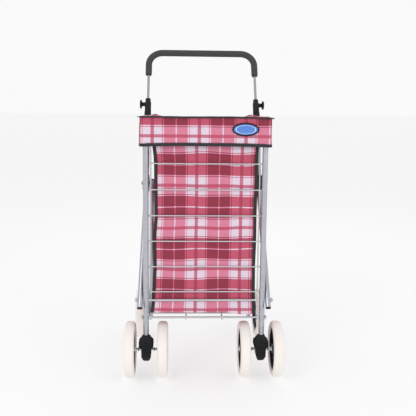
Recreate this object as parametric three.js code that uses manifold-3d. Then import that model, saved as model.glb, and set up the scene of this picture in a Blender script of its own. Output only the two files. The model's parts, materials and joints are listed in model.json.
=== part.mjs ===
// A folding shopping trolley: front frame with a wire grid and a cloth bag, a folding handle frame,
// folding rear legs, a wire shelf, two twin-wheel casters and two rear wheels.
// Millimetres, +Z up, origin on the floor under the middle of the trolley.
// The front (grid and casters) faces -Y, left is -X and right is +X.
import * as THREE from "three";
import { mergeVertices } from "three/addons/utils/BufferGeometryUtils.js";
import Module from "manifold-3d";

const wasm = await Module();
wasm.setup();

// ---------------------------------------------------------------- driving dimensions
const GAP = 0.3; // between faces that touch
const RUNNING = 0.3; // radial clearance of a shaft in its hole
const SIDES = [-1, 1]; // left, right

const WHEEL = { radius: 82.5, width: 30, rim: 64, bore: 4.3, boss: 14, bossWidth: 22, segments: 30 };
const TUBE = { outer: 8, inner: 6.7 };
const BASE = { length: 350, rearX: 203 }; // distance between axles, rear wheel centre from the middle
const FRONT_AXLE_Y = -BASE.length / 2;
const REAR_AXLE_Y = BASE.length / 2;

const CASTER = { trail: 25, wheelX: 48, top: 133, bottom: 54, halfNeck: 14, stem: 4 };
const FRAME_Y = FRONT_AXLE_Y - CASTER.trail; // plane of the front tubes
const FRAME_X = 168; // front tube from the middle
const FRAME_TOP = 742; // middle of the top rail
const FRAME_BEND = 30;
const RAIL_LEG = 42; // height of the rail's bent ends
const FRAME_FOOT = CASTER.top + 3;

const GRID = { top: 636, pitch: 74.2, rows: 6, wire: 2, sideX: 154, sideTop: 700 };
const PIVOT_Z = 240; // rod on which the handle frame folds
const SHELF_Z = 188; // rod on which the shelf swings
const ROD = { pivot: 3.5, shelf: 3 };

const LEAN = THREE.MathUtils.degToRad(31); // handle frame from the upright
const HANDLE = { footX: 185.5, topX: 175, foot: -22, bracket: 370, top: 634, clampTop: 667 };
const HANDLE_ROD = { radius: 4.2, foot: 474, top: 782 };
const GRIP = { foot: 758, top: 843, radius: 10.5, bend: 50 };

const LEG = { topX: 157.5, footX: 168, radius: 7, inner: 5.8, beyond: 12 };
const REST_BAR = { radius: 4, along: 0.791 }; // where the bar crosses the leg, from its top
const SHELF = { length: 350, outerX: 155, innerX: 52, wire: 2, rows: 6 };

const BAG = { halfWidth: 147, front: FRAME_Y + 4.2, back: 58, bottom: 196, top: 731, wall: 3, corner: 18 };
const LID = { top: 768, thick: 8, back: 62, frontX: 183, pipingX: 191, waistX: 161, backX: 155 };
const LID_FRONT = FRAME_Y - TUBE.outer - 6;
const FLAP = { bottom: 691, thick: 4, binding: 8.5 };
const BADGE = { x: 110, z: 733, width: 75, height: 37, rim: 4, thick: 2.4 };

// ---------------------------------------------------------------- materials
function finish(color, roughness, metalness) {
  return new THREE.MeshStandardMaterial({ color, roughness, metalness });
}
const silver = finish(0xb0b3bd, 0.35, 0.9);
const zinc = finish(0xc4c6cb, 0.3, 1);
const chrome = finish(0xd8dade, 0.12, 1);
const black = finish(0x191a1b, 0.5, 0);
const foam = finish(0x1c1c1e, 0.85, 0);
const cream = finish(0xe8ded6, 0.7, 0);
const plaid = finish(0xc2607c, 0.9, 0);
const trim = finish(0x17171a, 0.8, 0);
const blue = finish(0x5a8cf0, 0.3, 0);

// ---------------------------------------------------------------- helpers
const part = new THREE.Group();

// Names a geometry, gives it a material and places it.
function add(name, geometry, material, position = [0, 0, 0]) {
  const mesh = new THREE.Mesh(geometry, material);
  mesh.name = name;
  mesh.position.set(...position);
  part.add(mesh);
}

const sideName = (side) => (side < 0 ? "left" : "right");

// A closed geometry as a manifold-3d solid, for joining and cutting.
function solid(geometry) {
  const bare = geometry.clone();
  bare.deleteAttribute("normal");
  bare.deleteAttribute("uv");
  const merged = mergeVertices(bare, 1e-4);
  const vertProperties = new Float32Array(merged.attributes.position.array);
  const triVerts = new Uint32Array(merged.index.array);
  return new wasm.Manifold(new wasm.Mesh({ numProp: 3, vertProperties, triVerts }));
}

// A manifold-3d solid back as a geometry.
function shell(body) {
  const mesh = body.getMesh();
  return new THREE.BufferGeometry()
    .setAttribute("position", new THREE.BufferAttribute(mesh.vertProperties, 3))
    .setIndex(new THREE.BufferAttribute(mesh.triVerts, 1));
}

const join = (pieces) => shell(pieces.map(solid).reduce((a, b) => a.add(b)));
const cut = (geometry, tools) => shell(tools.map(solid).reduce((a, b) => a.subtract(b), solid(geometry)));

// A point of the handle frame's own plane: x sideways and a distance up along its tubes from the pivot rod.
function onHandle(x, along, behind = 0) {
  const y = FRAME_Y + along * Math.sin(LEAN) + behind * Math.cos(LEAN);
  const z = PIVOT_Z + along * Math.cos(LEAN) - behind * Math.sin(LEAN);
  return new THREE.Vector3(x, y, z);
}

// Turns a geometry made along +Z to run from one point towards another.
function aim(geometry, from, to) {
  const along = new THREE.Vector3().subVectors(to, from).normalize();
  const turn = new THREE.Quaternion().setFromUnitVectors(new THREE.Vector3(0, 0, 1), along);
  return geometry.applyQuaternion(turn).translate(from.x, from.y, from.z);
}

// A round bar between two points.
function bar(from, to, radius, sides = 12) {
  const length = from.distanceTo(to);
  const along = new THREE.CylinderGeometry(radius, radius, length, sides).rotateX(Math.PI / 2);
  return aim(along.translate(0, 0, length / 2), from, to);
}

const barAlongX = (x0, x1, y, z, radius, sides = 12) =>
  bar(new THREE.Vector3(x0, y, z), new THREE.Vector3(x1, y, z), radius, sides);

// The outline of a circle as a polygon.
function circle(radius, sides, Outline = THREE.Shape) {
  const points = [];
  for (let i = 0; i < sides; i += 1) {
    const angle = ((i + 0.5) / sides) * 2 * Math.PI;
    points.push(new THREE.Vector2(radius * Math.cos(angle), radius * Math.sin(angle)));
  }
  return new Outline(points);
}

// A tube's section; without an inner radius it is a full round.
function ring(outer, inner, sides) {
  const section = circle(outer, sides);
  if (inner) section.holes.push(circle(inner, sides, THREE.Path));
  return section;
}

function straightTube(from, to, outer, inner, sides = 12) {
  const depth = from.distanceTo(to);
  const tube = new THREE.ExtrudeGeometry(ring(outer, inner, sides), { depth, bevelEnabled: false });
  return aim(tube, from, to);
}

const bentTube = (path, outer, inner, sides, steps) =>
  new THREE.ExtrudeGeometry(ring(outer, inner, sides), { steps, extrudePath: path, bevelEnabled: false });

// A solid of revolution from [radius, height] pairs, its axis along X.
function turned(profile, segments) {
  const points = profile.map(([radius, height]) => new THREE.Vector2(radius, height));
  return new THREE.LatheGeometry(points, segments).rotateZ(-Math.PI / 2);
}

// An arch in a plane: up one leg, round a corner, across, and down again. place(x, up) gives its points.
function archPath(halfWidth, foot, top, bend, place) {
  const path = new THREE.CurvePath();
  const corner = (side) => [place(side * halfWidth, top - bend), place(side * (halfWidth - bend), top)];
  const [leftLow, leftHigh] = corner(-1);
  const [rightLow, rightHigh] = corner(1);
  path.add(new THREE.LineCurve3(place(-halfWidth, foot), leftLow));
  path.add(new THREE.QuadraticBezierCurve3(leftLow, place(-halfWidth, top), leftHigh));
  path.add(new THREE.LineCurve3(leftHigh, rightHigh));
  path.add(new THREE.QuadraticBezierCurve3(rightHigh, place(halfWidth, top), rightLow));
  path.add(new THREE.LineCurve3(rightLow, place(halfWidth, foot)));
  return path;
}

// ---------------------------------------------------------------- wheels
function tyre() {
  const { radius, width, rim, segments } = WHEEL;
  const half = width / 2;
  const profile = [
    [rim, -half + 4],
    [radius - 8, -half],
    [radius - 2, -half + 5],
    [radius, 0],
    [radius - 2, half - 5],
    [radius - 8, half],
    [rim, half - 4],
    [rim, -half + 4],
  ];
  return turned(profile, segments);
}

// A dished disc with a boss and a rim, lightened by round windows between its spokes.
function hub() {
  const rim = WHEEL.rim - 3 * GAP; // clears the flats of the tyre's facets
  const boss = WHEEL.bossWidth / 2;
  const profile = [
    [WHEEL.bore, -boss],
    [WHEEL.boss, -boss],
    [WHEEL.boss + 2, -4],
    [rim - 6, -4],
    [rim - 6, -10],
    [rim, -10],
    [rim, 10],
    [rim - 6, 10],
    [rim - 6, 4],
    [WHEEL.boss + 2, 4],
    [WHEEL.boss, boss],
    [WHEEL.bore, boss],
    [WHEEL.bore, -boss],
  ];
  const windows = [];
  const spokes = 6;
  for (let i = 0; i < spokes; i += 1) {
    const angle = (i / spokes) * 2 * Math.PI;
    const middle = (WHEEL.boss + rim) / 2 - 1;
    windows.push(barAlongX(-20, 20, middle * Math.cos(angle), middle * Math.sin(angle), 14, 8));
  }
  return cut(turned(profile, 18), windows);
}

function addWheel(name, x, y) {
  add(`${name}_tyre`, tyre(), cream, [x, y, WHEEL.radius]);
  add(`${name}_hub`, hub(), black, [x, y, WHEEL.radius]);
}

// ---------------------------------------------------------------- casters
// The housing is the shield seen from the front, cut to the outline seen from the side.
function casterYoke() {
  const front = new THREE.Shape();
  const halfOutline = [
    [7, CASTER.bottom],
    [11, CASTER.bottom + 6],
    [CASTER.halfNeck, 70],
    [CASTER.halfNeck, 97],
    [21, 101],
    [21, 117],
    [CASTER.halfNeck, 125],
    [11, CASTER.top],
  ];
  halfOutline.forEach(([x, z], i) => (i ? front.lineTo(x, z) : front.moveTo(x, z)));
  [...halfOutline].reverse().forEach(([x, z]) => front.lineTo(-x, z));
  const side = new THREE.Shape();
  const outline = [
    [-11, CASTER.top],
    [-14, 118],
    [-13, 95],
    [-8, 70],
    [4, CASTER.bottom],
    [24, CASTER.bottom],
    [36, 64],
    [40, 84],
    [36, 96],
    [22, 112],
    [11, CASTER.top],
  ];
  outline.forEach(([y, z], i) => (i ? side.lineTo(y, z) : side.moveTo(y, z)));
  const across = { depth: 80, bevelEnabled: false };
  const frontSlab = new THREE.ExtrudeGeometry(front, across).rotateX(Math.PI / 2).translate(0, 60, 0);
  const sideSlab = new THREE.ExtrudeGeometry(side, across);
  sideSlab.applyMatrix4(new THREE.Matrix4().set(0, 0, 1, -40, 1, 0, 0, 0, 0, 1, 0, 0, 0, 0, 0, 1));
  const uprightPoint = (z) => new THREE.Vector3(0, 0, z);
  const bores = [
    barAlongX(-30, 30, CASTER.trail, WHEEL.radius, WHEEL.bore, 16),
    bar(uprightPoint(110), uprightPoint(CASTER.top + 9), CASTER.stem + GAP, 16),
  ];
  return cut(shell(solid(frontSlab).intersect(solid(sideSlab))), bores);
}

// The axle with its waisted collars between housing and wheels, and a nut at each end.
function casterAxle() {
  const shaft = WHEEL.bore - RUNNING;
  const hubIn = CASTER.wheelX - WHEEL.bossWidth / 2 - GAP;
  const hubOut = CASTER.wheelX + WHEEL.bossWidth / 2 + GAP;
  const collar = CASTER.halfNeck + 7.4; // the collar stands clear of the housing's neck
  const half = [
    [shaft, collar],
    [6, collar + 0.1],
    [3.6, collar + 4.6],
    [6, hubIn - 1],
    [6, hubIn],
    [shaft, hubIn + 0.01],
    [shaft, hubOut],
    [7, hubOut + 0.01],
    [7, hubOut + 3],
    [0, hubOut + 4.5],
  ];
  const mirrored = [...half].reverse().map(([r, x]) => [r, -x]);
  return turned([...mirrored, ...half], 10);
}

function addCaster(side) {
  const name = sideName(side);
  const x = side * FRAME_X;
  const point = (z) => new THREE.Vector3(x, FRAME_Y, z);
  add(`caster_yoke_${name}`, casterYoke(), black, [x, FRAME_Y, 0]);
  add(`caster_stem_${name}`, bar(point(110 + GAP), point(176), CASTER.stem, 16), zinc);
  add(`caster_axle_${name}`, casterAxle(), zinc, [x, FRONT_AXLE_Y, WHEEL.radius]);
  addWheel(`front_outer_${name}`, x + side * CASTER.wheelX, FRONT_AXLE_Y);
  addWheel(`front_inner_${name}`, x - side * CASTER.wheelX, FRONT_AXLE_Y);
  const collar = straightTube(point(CASTER.top + GAP), point(FRAME_FOOT - GAP), 9.5, CASTER.stem + GAP);
  const inside = straightTube(point(CASTER.top + 1), point(172), TUBE.inner - GAP, CASTER.stem + GAP);
  add(`caster_bush_${name}`, join([collar, inside]), black);
}

// ---------------------------------------------------------------- front frame
function addFrontFrame() {
  const tubeTop = FRAME_TOP - RAIL_LEG;
  for (const side of SIDES) {
    const x = side * FRAME_X;
    const point = (z) => new THREE.Vector3(x, FRAME_Y, z);
    const tube = straightTube(point(FRAME_FOOT), point(tubeTop), TUBE.outer, TUBE.inner);
    const holes = [
      barAlongX(x - 20, x + 20, FRAME_Y, PIVOT_Z, ROD.pivot + RUNNING),
      barAlongX(x - 20, x + 20, FRAME_Y, SHELF_Z, ROD.shelf + RUNNING),
    ];
    add(`front_tube_${sideName(side)}`, cut(tube, holes), silver);
  }
  const place = (x, z) => new THREE.Vector3(x, FRAME_Y, z);
  const rail = archPath(FRAME_X, tubeTop + GAP, FRAME_TOP, FRAME_BEND, place);
  add("front_top_rail", bentTube(rail, TUBE.outer, 0, 10, 20), silver);
  addRod("pivot", PIVOT_Z, ROD.pivot, HANDLE.footX + TUBE.outer);
  addRod("shelf", SHELF_Z, ROD.shelf, FRAME_X + TUBE.outer);
}

// A through rod with a cap nut at each end; reach is the outer face that the nuts sit on.
function addRod(name, z, radius, reach) {
  const nutLength = 7;
  const threaded = reach + nutLength - 2;
  add(`${name}_rod`, barAlongX(-threaded, threaded, FRAME_Y, z, radius), zinc);
  const cap = nutLength - 1.5;
  const profile = [
    [radius + GAP, 0],
    [radius + 3, 0],
    [radius + 3, 4],
    [radius + 1.5, cap],
    [0, nutLength],
    [0, cap],
    [radius + GAP, cap - GAP],
    [radius + GAP, 0],
  ];
  for (const side of SIDES) {
    const nut = turned(profile, 12);
    if (side < 0) nut.rotateZ(Math.PI);
    add(`${name}_nut_${sideName(side)}`, nut, zinc, [side * (reach + GAP), FRAME_Y, z]);
  }
}

function addGrid() {
  const reach = FRAME_X - TUBE.outer - GAP;
  const lowest = GRID.top - GRID.pitch * (GRID.rows - 1);
  const wires = [];
  for (let row = 0; row < GRID.rows; row += 1) {
    wires.push(barAlongX(-reach, reach, FRAME_Y, GRID.top - row * GRID.pitch, GRID.wire, 6));
  }
  for (const side of SIDES) {
    const point = (z) => new THREE.Vector3(side * GRID.sideX, FRAME_Y + 1.6 * GRID.wire, z);
    wires.push(bar(point(lowest - 3), point(GRID.sideTop), GRID.wire, 6));
  }
  add("front_grid", join(wires), silver);
}

// ---------------------------------------------------------------- handle frame
function addHandleFrame(side) {
  const name = sideName(side);
  const at = (along, behind) => onHandle(side * HANDLE.topX, along, behind);
  const foot = onHandle(side * HANDLE.footX, HANDLE.foot);
  const bend = at((HANDLE.foot + HANDLE.top) / 2); // below it the tubes spread apart
  const path = new THREE.CurvePath();
  path.add(new THREE.LineCurve3(foot, bend));
  path.add(new THREE.LineCurve3(bend, at(HANDLE.top)));
  const pin = at(HANDLE.bracket);
  const holes = [
    barAlongX(side * 160, side * 210, FRAME_Y, PIVOT_Z, ROD.pivot + RUNNING),
    barAlongX(side * 150, side * 200, pin.y, pin.z, 3 + RUNNING),
  ];
  const tube = bentTube(path, TUBE.outer, TUBE.inner, 12, 2);
  add(`handle_tube_${name}`, cut(tube, holes), silver);

  const below = onHandle(foot.x, HANDLE.foot - 4);
  const inTube = onHandle(foot.x, HANDLE.foot + 8);
  const head = bar(below, onHandle(foot.x, HANDLE.foot - GAP), TUBE.outer, 12);
  add(`end_plug_${name}`, join([head, bar(onHandle(foot.x, HANDLE.foot - 2), inTube, 5.6)]), black);

  addLegBracket(side, pin);
  addClamp(side, at);
}

// A moulded block that grips the handle tube and carries the leg's pin.
function addLegBracket(side, pin) {
  const name = sideName(side);
  const block = new THREE.BoxGeometry(20, 24, 46).rotateX(-LEAN);
  block.translate(side * (HANDLE.topX + 0.5), pin.y, pin.z);
  const low = onHandle(side * HANDLE.topX, HANDLE.bracket - 40);
  const high = onHandle(side * HANDLE.topX, HANDLE.bracket + 40);
  const tools = [
    bar(low, high, TUBE.outer + 2 * GAP),
    barAlongX(side * 150, side * 200, pin.y, pin.z, 3 + RUNNING),
  ];
  add(`leg_bracket_${name}`, cut(block, tools), black);
  const inner = LEG.topX - LEG.radius - 2.3;
  const outer = HANDLE.topX + 15;
  const shank = barAlongX(side * inner, side * outer, pin.y, pin.z, 3);
  const heads = [
    barAlongX(side * inner, side * (inner + 2), pin.y, pin.z, 5.5),
    barAlongX(side * (outer - 3), side * outer, pin.y, pin.z, 5.5),
  ];
  add(`leg_pin_${name}`, join([shank, ...heads]), zinc);
}

// The telescope clamp on the tube's mouth: a sleeve, a tight collar on the rod and a screw boss outside.
function addClamp(side, at) {
  const name = sideName(side);
  const grips = 30; // length of sleeve on the tube
  const sleeve = bar(at(HANDLE.top - grips), at(HANDLE.clampTop - 12), 10.2, 16);
  const collar = bar(at(HANDLE.clampTop - 13), at(HANDLE.clampTop), 8.6, 16);
  const screwAt = at(HANDLE.top + 14);
  const x = side * HANDLE.topX;
  const boss = barAlongX(x + side * 7, x + side * 15, screwAt.y, screwAt.z, 6.5);
  const tools = [
    bar(at(HANDLE.top - grips - 5), at(HANDLE.top + GAP), TUBE.outer + GAP, 16),
    bar(at(HANDLE.top - 5), at(HANDLE.clampTop + 5), HANDLE_ROD.radius + GAP, 16),
    barAlongX(x + side * 3, x + side * 20, screwAt.y, screwAt.z, 3 + RUNNING),
  ];
  add(`clamp_${name}`, cut(join([sleeve, collar, boss]), tools), black);
  add(`clamp_knob_${name}`, knob(side), black, [x, screwAt.y, screwAt.z]);
}

// A thumb knob with five lobes on a short screw.
function knob(side) {
  const face = 15 + GAP;
  const screw = barAlongX(side * (HANDLE_ROD.radius + 2 * GAP), side * (face + 4), 0, 0, 3);
  const neck = barAlongX(side * face, side * (face + 4), 0, 0, 6);
  const disc = barAlongX(side * (face + 3), side * (face + 11), 0, 0, 11.5, 20);
  const lobes = 5;
  const pieces = [screw, neck, disc];
  for (let i = 0; i < lobes; i += 1) {
    const angle = (i / lobes) * 2 * Math.PI;
    const [y, z] = [10 * Math.cos(angle), 10 * Math.sin(angle)];
    pieces.push(barAlongX(side * (face + 3.5), side * (face + 10.5), y, z, 4.5, 10));
  }
  return join(pieces);
}

// ---------------------------------------------------------------- telescoping handle
function addHandle() {
  for (const side of SIDES) {
    const at = (along) => onHandle(side * HANDLE.topX, along);
    const rod = bar(at(HANDLE_ROD.foot), at(HANDLE_ROD.top), HANDLE_ROD.radius);
    add(`handle_rod_${sideName(side)}`, rod, chrome);
  }
  const arch = archPath(HANDLE.topX, GRIP.foot, GRIP.top, GRIP.bend, (x, along) => onHandle(x, along));
  const sockets = SIDES.map((side) => {
    const at = (along) => onHandle(side * HANDLE.topX, along);
    return bar(at(GRIP.foot - 4), at(HANDLE_ROD.top + GAP), HANDLE_ROD.radius + GAP);
  });
  add("grip", cut(bentTube(arch, GRIP.radius, 0, 10, 24), sockets), foam);
}

// ---------------------------------------------------------------- rear legs
const legTop = () => onHandle(0, HANDLE.bracket);

// A point on a leg; 0 is its pin and 1 the rear axle.
function onLeg(side, t) {
  const top = legTop();
  const x = side * (LEG.topX + (LEG.footX - LEG.topX) * t);
  return new THREE.Vector3(x, top.y + (REAR_AXLE_Y - top.y) * t, top.z + (WHEEL.radius - top.z) * t);
}

function addRearLegs() {
  const length = onLeg(1, 0).distanceTo(onLeg(1, 1));
  const spare = LEG.beyond / length;
  const top = legTop();
  const axle = WHEEL.bore - RUNNING;
  for (const side of SIDES) {
    const tube = straightTube(onLeg(side, -spare), onLeg(side, 1 + spare), LEG.radius, LEG.inner);
    const holes = [
      barAlongX(side * 145, side * 175, top.y, top.z, 3 + RUNNING),
      barAlongX(side * 150, side * 190, REAR_AXLE_Y, WHEEL.radius, axle + RUNNING),
    ];
    add(`leg_tube_${sideName(side)}`, cut(tube, holes), silver);
    addWheel(`rear_${sideName(side)}`, side * BASE.rearX, REAR_AXLE_Y);
    addAxleCap(side, axle);
  }
  const rest = onLeg(1, REST_BAR.along);
  const reach = rest.x - LEG.radius - 3 * GAP;
  add("shelf_rest_bar", barAlongX(-reach, reach, rest.y, rest.z, REST_BAR.radius), silver);
  add("rear_axle", rearAxle(axle), zinc, [0, REAR_AXLE_Y, WHEEL.radius]);
}

// The rear axle with a spacer collar between each leg and its wheel.
function rearAxle(radius) {
  const legFace = LEG.footX + LEG.radius + 2 * GAP;
  const hubFace = BASE.rearX - WHEEL.bossWidth / 2 - GAP;
  const end = BASE.rearX + WHEEL.bossWidth / 2 + 3;
  const half = [
    [radius, legFace],
    [6.5, legFace + 0.01],
    [6.5, hubFace],
    [radius, hubFace + 0.01],
    [radius, end],
    [0, end],
  ];
  const mirrored = [...half].reverse().map(([r, x]) => [r, -x]);
  return turned([...mirrored, ...half], 10);
}

function addAxleCap(side, radius) {
  const profile = [
    [radius + GAP, 0],
    [8, 0],
    [8, 3],
    [5, 6],
    [0, 6],
    [0, 4],
    [radius + GAP, 4],
    [radius + GAP, 0],
  ];
  const cap = turned(profile, 12);
  if (side < 0) cap.rotateZ(Math.PI);
  const x = side * (BASE.rearX + WHEEL.bossWidth / 2 + GAP);
  add(`axle_cap_${sideName(side)}`, cap, black, [x, REAR_AXLE_Y, WHEEL.radius]);
}

// ---------------------------------------------------------------- shelf
// Lengthwise wires with an eye round the shelf rod each, and cross wires on top of them.
function addShelf() {
  const back = FRAME_Y + SHELF.length;
  const eyeIn = ROD.shelf + RUNNING;
  const eye = eyeIn + 2 * SHELF.wire;
  const eyeProfile = [
    [eyeIn, -SHELF.wire],
    [eye, -SHELF.wire],
    [eye, SHELF.wire],
    [eyeIn, SHELF.wire],
    [eyeIn, -SHELF.wire],
  ];
  const wires = [];
  for (const x of [-SHELF.outerX, -SHELF.innerX, SHELF.innerX, SHELF.outerX]) {
    wires.push(turned(eyeProfile, 10).translate(x, FRAME_Y, SHELF_Z));
    const from = new THREE.Vector3(x, FRAME_Y + eyeIn + 1, SHELF_Z);
    wires.push(bar(from, new THREE.Vector3(x, back, SHELF_Z), SHELF.wire, 6));
  }
  const pitch = (SHELF.length - 45) / (SHELF.rows - 1);
  for (let row = 0; row < SHELF.rows; row += 1) {
    const y = back - SHELF.wire - row * pitch;
    const reach = SHELF.outerX + 1.5;
    wires.push(barAlongX(-reach, reach, y, SHELF_Z + 1.6 * SHELF.wire, SHELF.wire, 6));
  }
  add("shelf", join(wires), silver);
}

// ---------------------------------------------------------------- bag and lid
function roundedOutline(halfWidth, front, back, corner) {
  const outline = new THREE.Shape();
  outline.moveTo(-halfWidth + corner, front);
  outline.lineTo(halfWidth - corner, front);
  outline.absarc(halfWidth - corner, front + corner, corner, -Math.PI / 2, 0, false);
  outline.lineTo(halfWidth, back - corner);
  outline.absarc(halfWidth - corner, back - corner, corner, 0, Math.PI / 2, false);
  outline.lineTo(-halfWidth + corner, back);
  outline.absarc(-halfWidth + corner, back - corner, corner, Math.PI / 2, Math.PI, false);
  outline.lineTo(-halfWidth, front + corner);
  outline.absarc(-halfWidth + corner, front + corner, corner, Math.PI, 1.5 * Math.PI, false);
  return outline;
}

// The bag: four walls and a bottom, open at the top.
function addBag() {
  const { halfWidth, front, back, bottom, top, wall, corner } = BAG;
  const settings = { curveSegments: 3, bevelEnabled: false };
  const outer = roundedOutline(halfWidth, front, back, corner);
  const inner = roundedOutline(halfWidth - wall, front + wall, back - wall, corner - wall);
  const outside = new THREE.ExtrudeGeometry(outer, { ...settings, depth: top - bottom });
  const inside = new THREE.ExtrudeGeometry(inner, { ...settings, depth: top - bottom });
  add("bag", cut(outside.translate(0, 0, bottom), [inside.translate(0, 0, bottom + wall)]), plaid);
}

// The lid: a padded top that narrows behind the front tubes, with the flap hanging down in front.
function addLid() {
  const plan = new THREE.Shape();
  const half = [
    [LID.frontX, LID_FRONT],
    [LID.frontX, FRAME_Y + 40],
    [LID.waistX, FRAME_Y + 85],
    [LID.backX, LID.back],
  ];
  half.forEach(([x, y], i) => (i ? plan.lineTo(x, y) : plan.moveTo(x, y)));
  [...half].reverse().forEach(([x, y]) => plan.lineTo(-x, y));
  const plate = new THREE.ExtrudeGeometry(plan, { depth: LID.thick, bevelEnabled: false });
  plate.translate(0, 0, LID.top - LID.thick);
  const drop = LID.top - FLAP.bottom;
  const flap = new THREE.BoxGeometry(2 * LID.frontX, FLAP.thick, drop);
  flap.translate(0, LID_FRONT + FLAP.thick / 2, FLAP.bottom + drop / 2);
  add("lid_panel", join([plate, flap]), plaid);

  const middleY = LID_FRONT + FLAP.thick / 2;
  const binding = new THREE.BoxGeometry(2 * LID.frontX, FLAP.thick + 1, FLAP.binding);
  add("flap_binding", binding, trim, [0, middleY, FLAP.bottom - FLAP.binding / 2 - GAP]);
  add("lid_piping", barAlongX(-LID.pipingX, LID.pipingX, LID_FRONT - 2.8 - GAP, LID.top - 2, 2.8, 10), trim);
}

// The oval badge on the flap: a raised rim round a plain face.
function addBadge() {
  const oval = (width, height, Outline = THREE.Shape) => {
    const outline = new Outline();
    outline.absellipse(0, 0, width / 2, height / 2, 0, 2 * Math.PI, false);
    return outline;
  };
  const inW = BADGE.width - 2 * BADGE.rim;
  const inH = BADGE.height - 2 * BADGE.rim;
  const rim = oval(BADGE.width, BADGE.height);
  rim.holes.push(oval(inW, inH, THREE.Path));
  const settings = { curveSegments: 10, bevelEnabled: false };
  const place = [BADGE.x, LID_FRONT - GAP, BADGE.z];
  const stand = (outline, depth) =>
    new THREE.ExtrudeGeometry(outline, { ...settings, depth }).rotateX(Math.PI / 2);
  add("badge_rim", stand(rim, BADGE.thick), trim, place);
  const face = oval(inW - 2 * GAP, inH - 2 * GAP);
  add("badge_face", stand(face, BADGE.thick - 0.8), blue, place);
}

// ---------------------------------------------------------------- the trolley
addFrontFrame();
addGrid();
addBag();
addLid();
addBadge();
addShelf();
addHandle();
addRearLegs();
for (const side of SIDES) {
  addHandleFrame(side);
  addCaster(side);
}

export default part;
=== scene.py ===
import json
import math

import bmesh
import bpy
from bpy.props import FloatProperty, FloatVectorProperty, IntProperty, PointerProperty
from mathutils import Matrix, Vector, noise

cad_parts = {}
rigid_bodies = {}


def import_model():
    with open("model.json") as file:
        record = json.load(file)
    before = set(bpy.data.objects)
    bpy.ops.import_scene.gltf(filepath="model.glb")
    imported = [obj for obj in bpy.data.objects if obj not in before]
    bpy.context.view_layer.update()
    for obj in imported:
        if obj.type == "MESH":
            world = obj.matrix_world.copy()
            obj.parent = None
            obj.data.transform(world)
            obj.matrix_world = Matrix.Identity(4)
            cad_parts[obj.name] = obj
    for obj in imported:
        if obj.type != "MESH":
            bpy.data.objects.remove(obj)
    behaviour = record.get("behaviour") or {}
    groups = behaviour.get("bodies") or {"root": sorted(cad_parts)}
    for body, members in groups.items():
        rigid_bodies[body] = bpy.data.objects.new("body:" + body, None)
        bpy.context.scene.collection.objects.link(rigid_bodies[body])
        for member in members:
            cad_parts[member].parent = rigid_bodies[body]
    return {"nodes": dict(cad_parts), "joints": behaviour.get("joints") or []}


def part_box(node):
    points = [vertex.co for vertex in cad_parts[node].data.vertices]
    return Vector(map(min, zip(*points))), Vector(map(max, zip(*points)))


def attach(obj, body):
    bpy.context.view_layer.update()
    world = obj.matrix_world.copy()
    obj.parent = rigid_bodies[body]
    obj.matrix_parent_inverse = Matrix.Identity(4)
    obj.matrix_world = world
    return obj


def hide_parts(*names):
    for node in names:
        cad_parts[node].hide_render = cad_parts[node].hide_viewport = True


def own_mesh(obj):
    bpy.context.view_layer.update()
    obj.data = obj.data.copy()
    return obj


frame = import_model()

bl_info = {
    "name": "Shopping trolley",
    "version": (1, 0, 0),
    "blender": (4, 5, 0),
    "location": "View3D > Sidebar > Trolley",
    "description": "Builds the looks of a folding shopping trolley round its packed frame",
    "category": "Add Mesh",
}

MM = 0.001
SIDES = {"left": -1, "right": 1}
WHEELS = [f"front_{place}_{side}" for side in SIDES for place in ("outer", "inner")] + [
    f"rear_{side}" for side in SIDES
]
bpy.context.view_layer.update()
JOINTS = {joint["name"]: joint for joint in frame["joints"]}
TUBE_RADIUS = 8 * MM
TUBE_BORE = 6.7 * MM
ROD_RADIUS = 4.2 * MM
LEG_RADIUS = 7 * MM
LEG_BORE = 5.8 * MM
REST_BAR_RADIUS = 4 * MM
BADGE_RIM = 4.2 * MM


# ---------------------------------------------------------------- settings
def colour_property(name, description, default):
    return FloatVectorProperty(
        name=name, description=description, subtype="COLOR", size=3, min=0, max=1, default=default
    )


def length_property(name, description, default):
    return FloatProperty(name=name, description=description, unit="LENGTH", min=0, default=default)


class ClothSettings(bpy.types.PropertyGroup):
    """The plaid and how the cloth hangs."""

    maroon: colour_property("Maroon", "Dark stripe over dark stripe", (0.270, 0.022, 0.050))
    rose: colour_property("Rose", "Dark weft over pale warp", (0.56, 0.085, 0.150))
    pink: colour_property("Pink", "Pale weft over dark warp", (0.72, 0.215, 0.325))
    pale: colour_property("Pale", "Pale weft over pale warp", (0.80, 0.67, 0.79))
    red: colour_property("Red", "Thin stripe in the middle of the pale ones", (0.50, 0.045, 0.105))
    sett_across: length_property("Sett across", "Width of one repeat of the stripes", 0.128)
    sett_up: length_property("Sett up", "Height of one repeat of the stripes", 0.1207)
    thread: length_property("Thread", "Distance between neighbouring threads", 0.0011)
    bulge: length_property("Bulge", "How far the bag's front swells between its wires", 0.0022)
    thickness: length_property("Cloth", "Thickness of the bag's cloth", 0.0012)


class MetalSettings(bpy.types.PropertyGroup):
    """Tubes, wires and rods."""

    silver: colour_property("Silver", "Paint on the tubes", (0.52, 0.53, 0.58))
    wire: colour_property("Wire", "Plating on the wires", (0.74, 0.75, 0.78))
    chrome: colour_property("Chrome", "Telescoping rods", (0.50, 0.51, 0.53))
    tube_sides: IntProperty(name="Tube sides", description="Faces round a tube", min=12, default=32)


class WheelSettings(bpy.types.PropertyGroup):
    """Tyres and hubs."""

    tyre: colour_property("Tyre", "Foam rubber of the tyres", (0.36, 0.32, 0.295))
    spokes: IntProperty(name="Spokes", description="Spokes in a hub", min=3, default=6)


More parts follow.
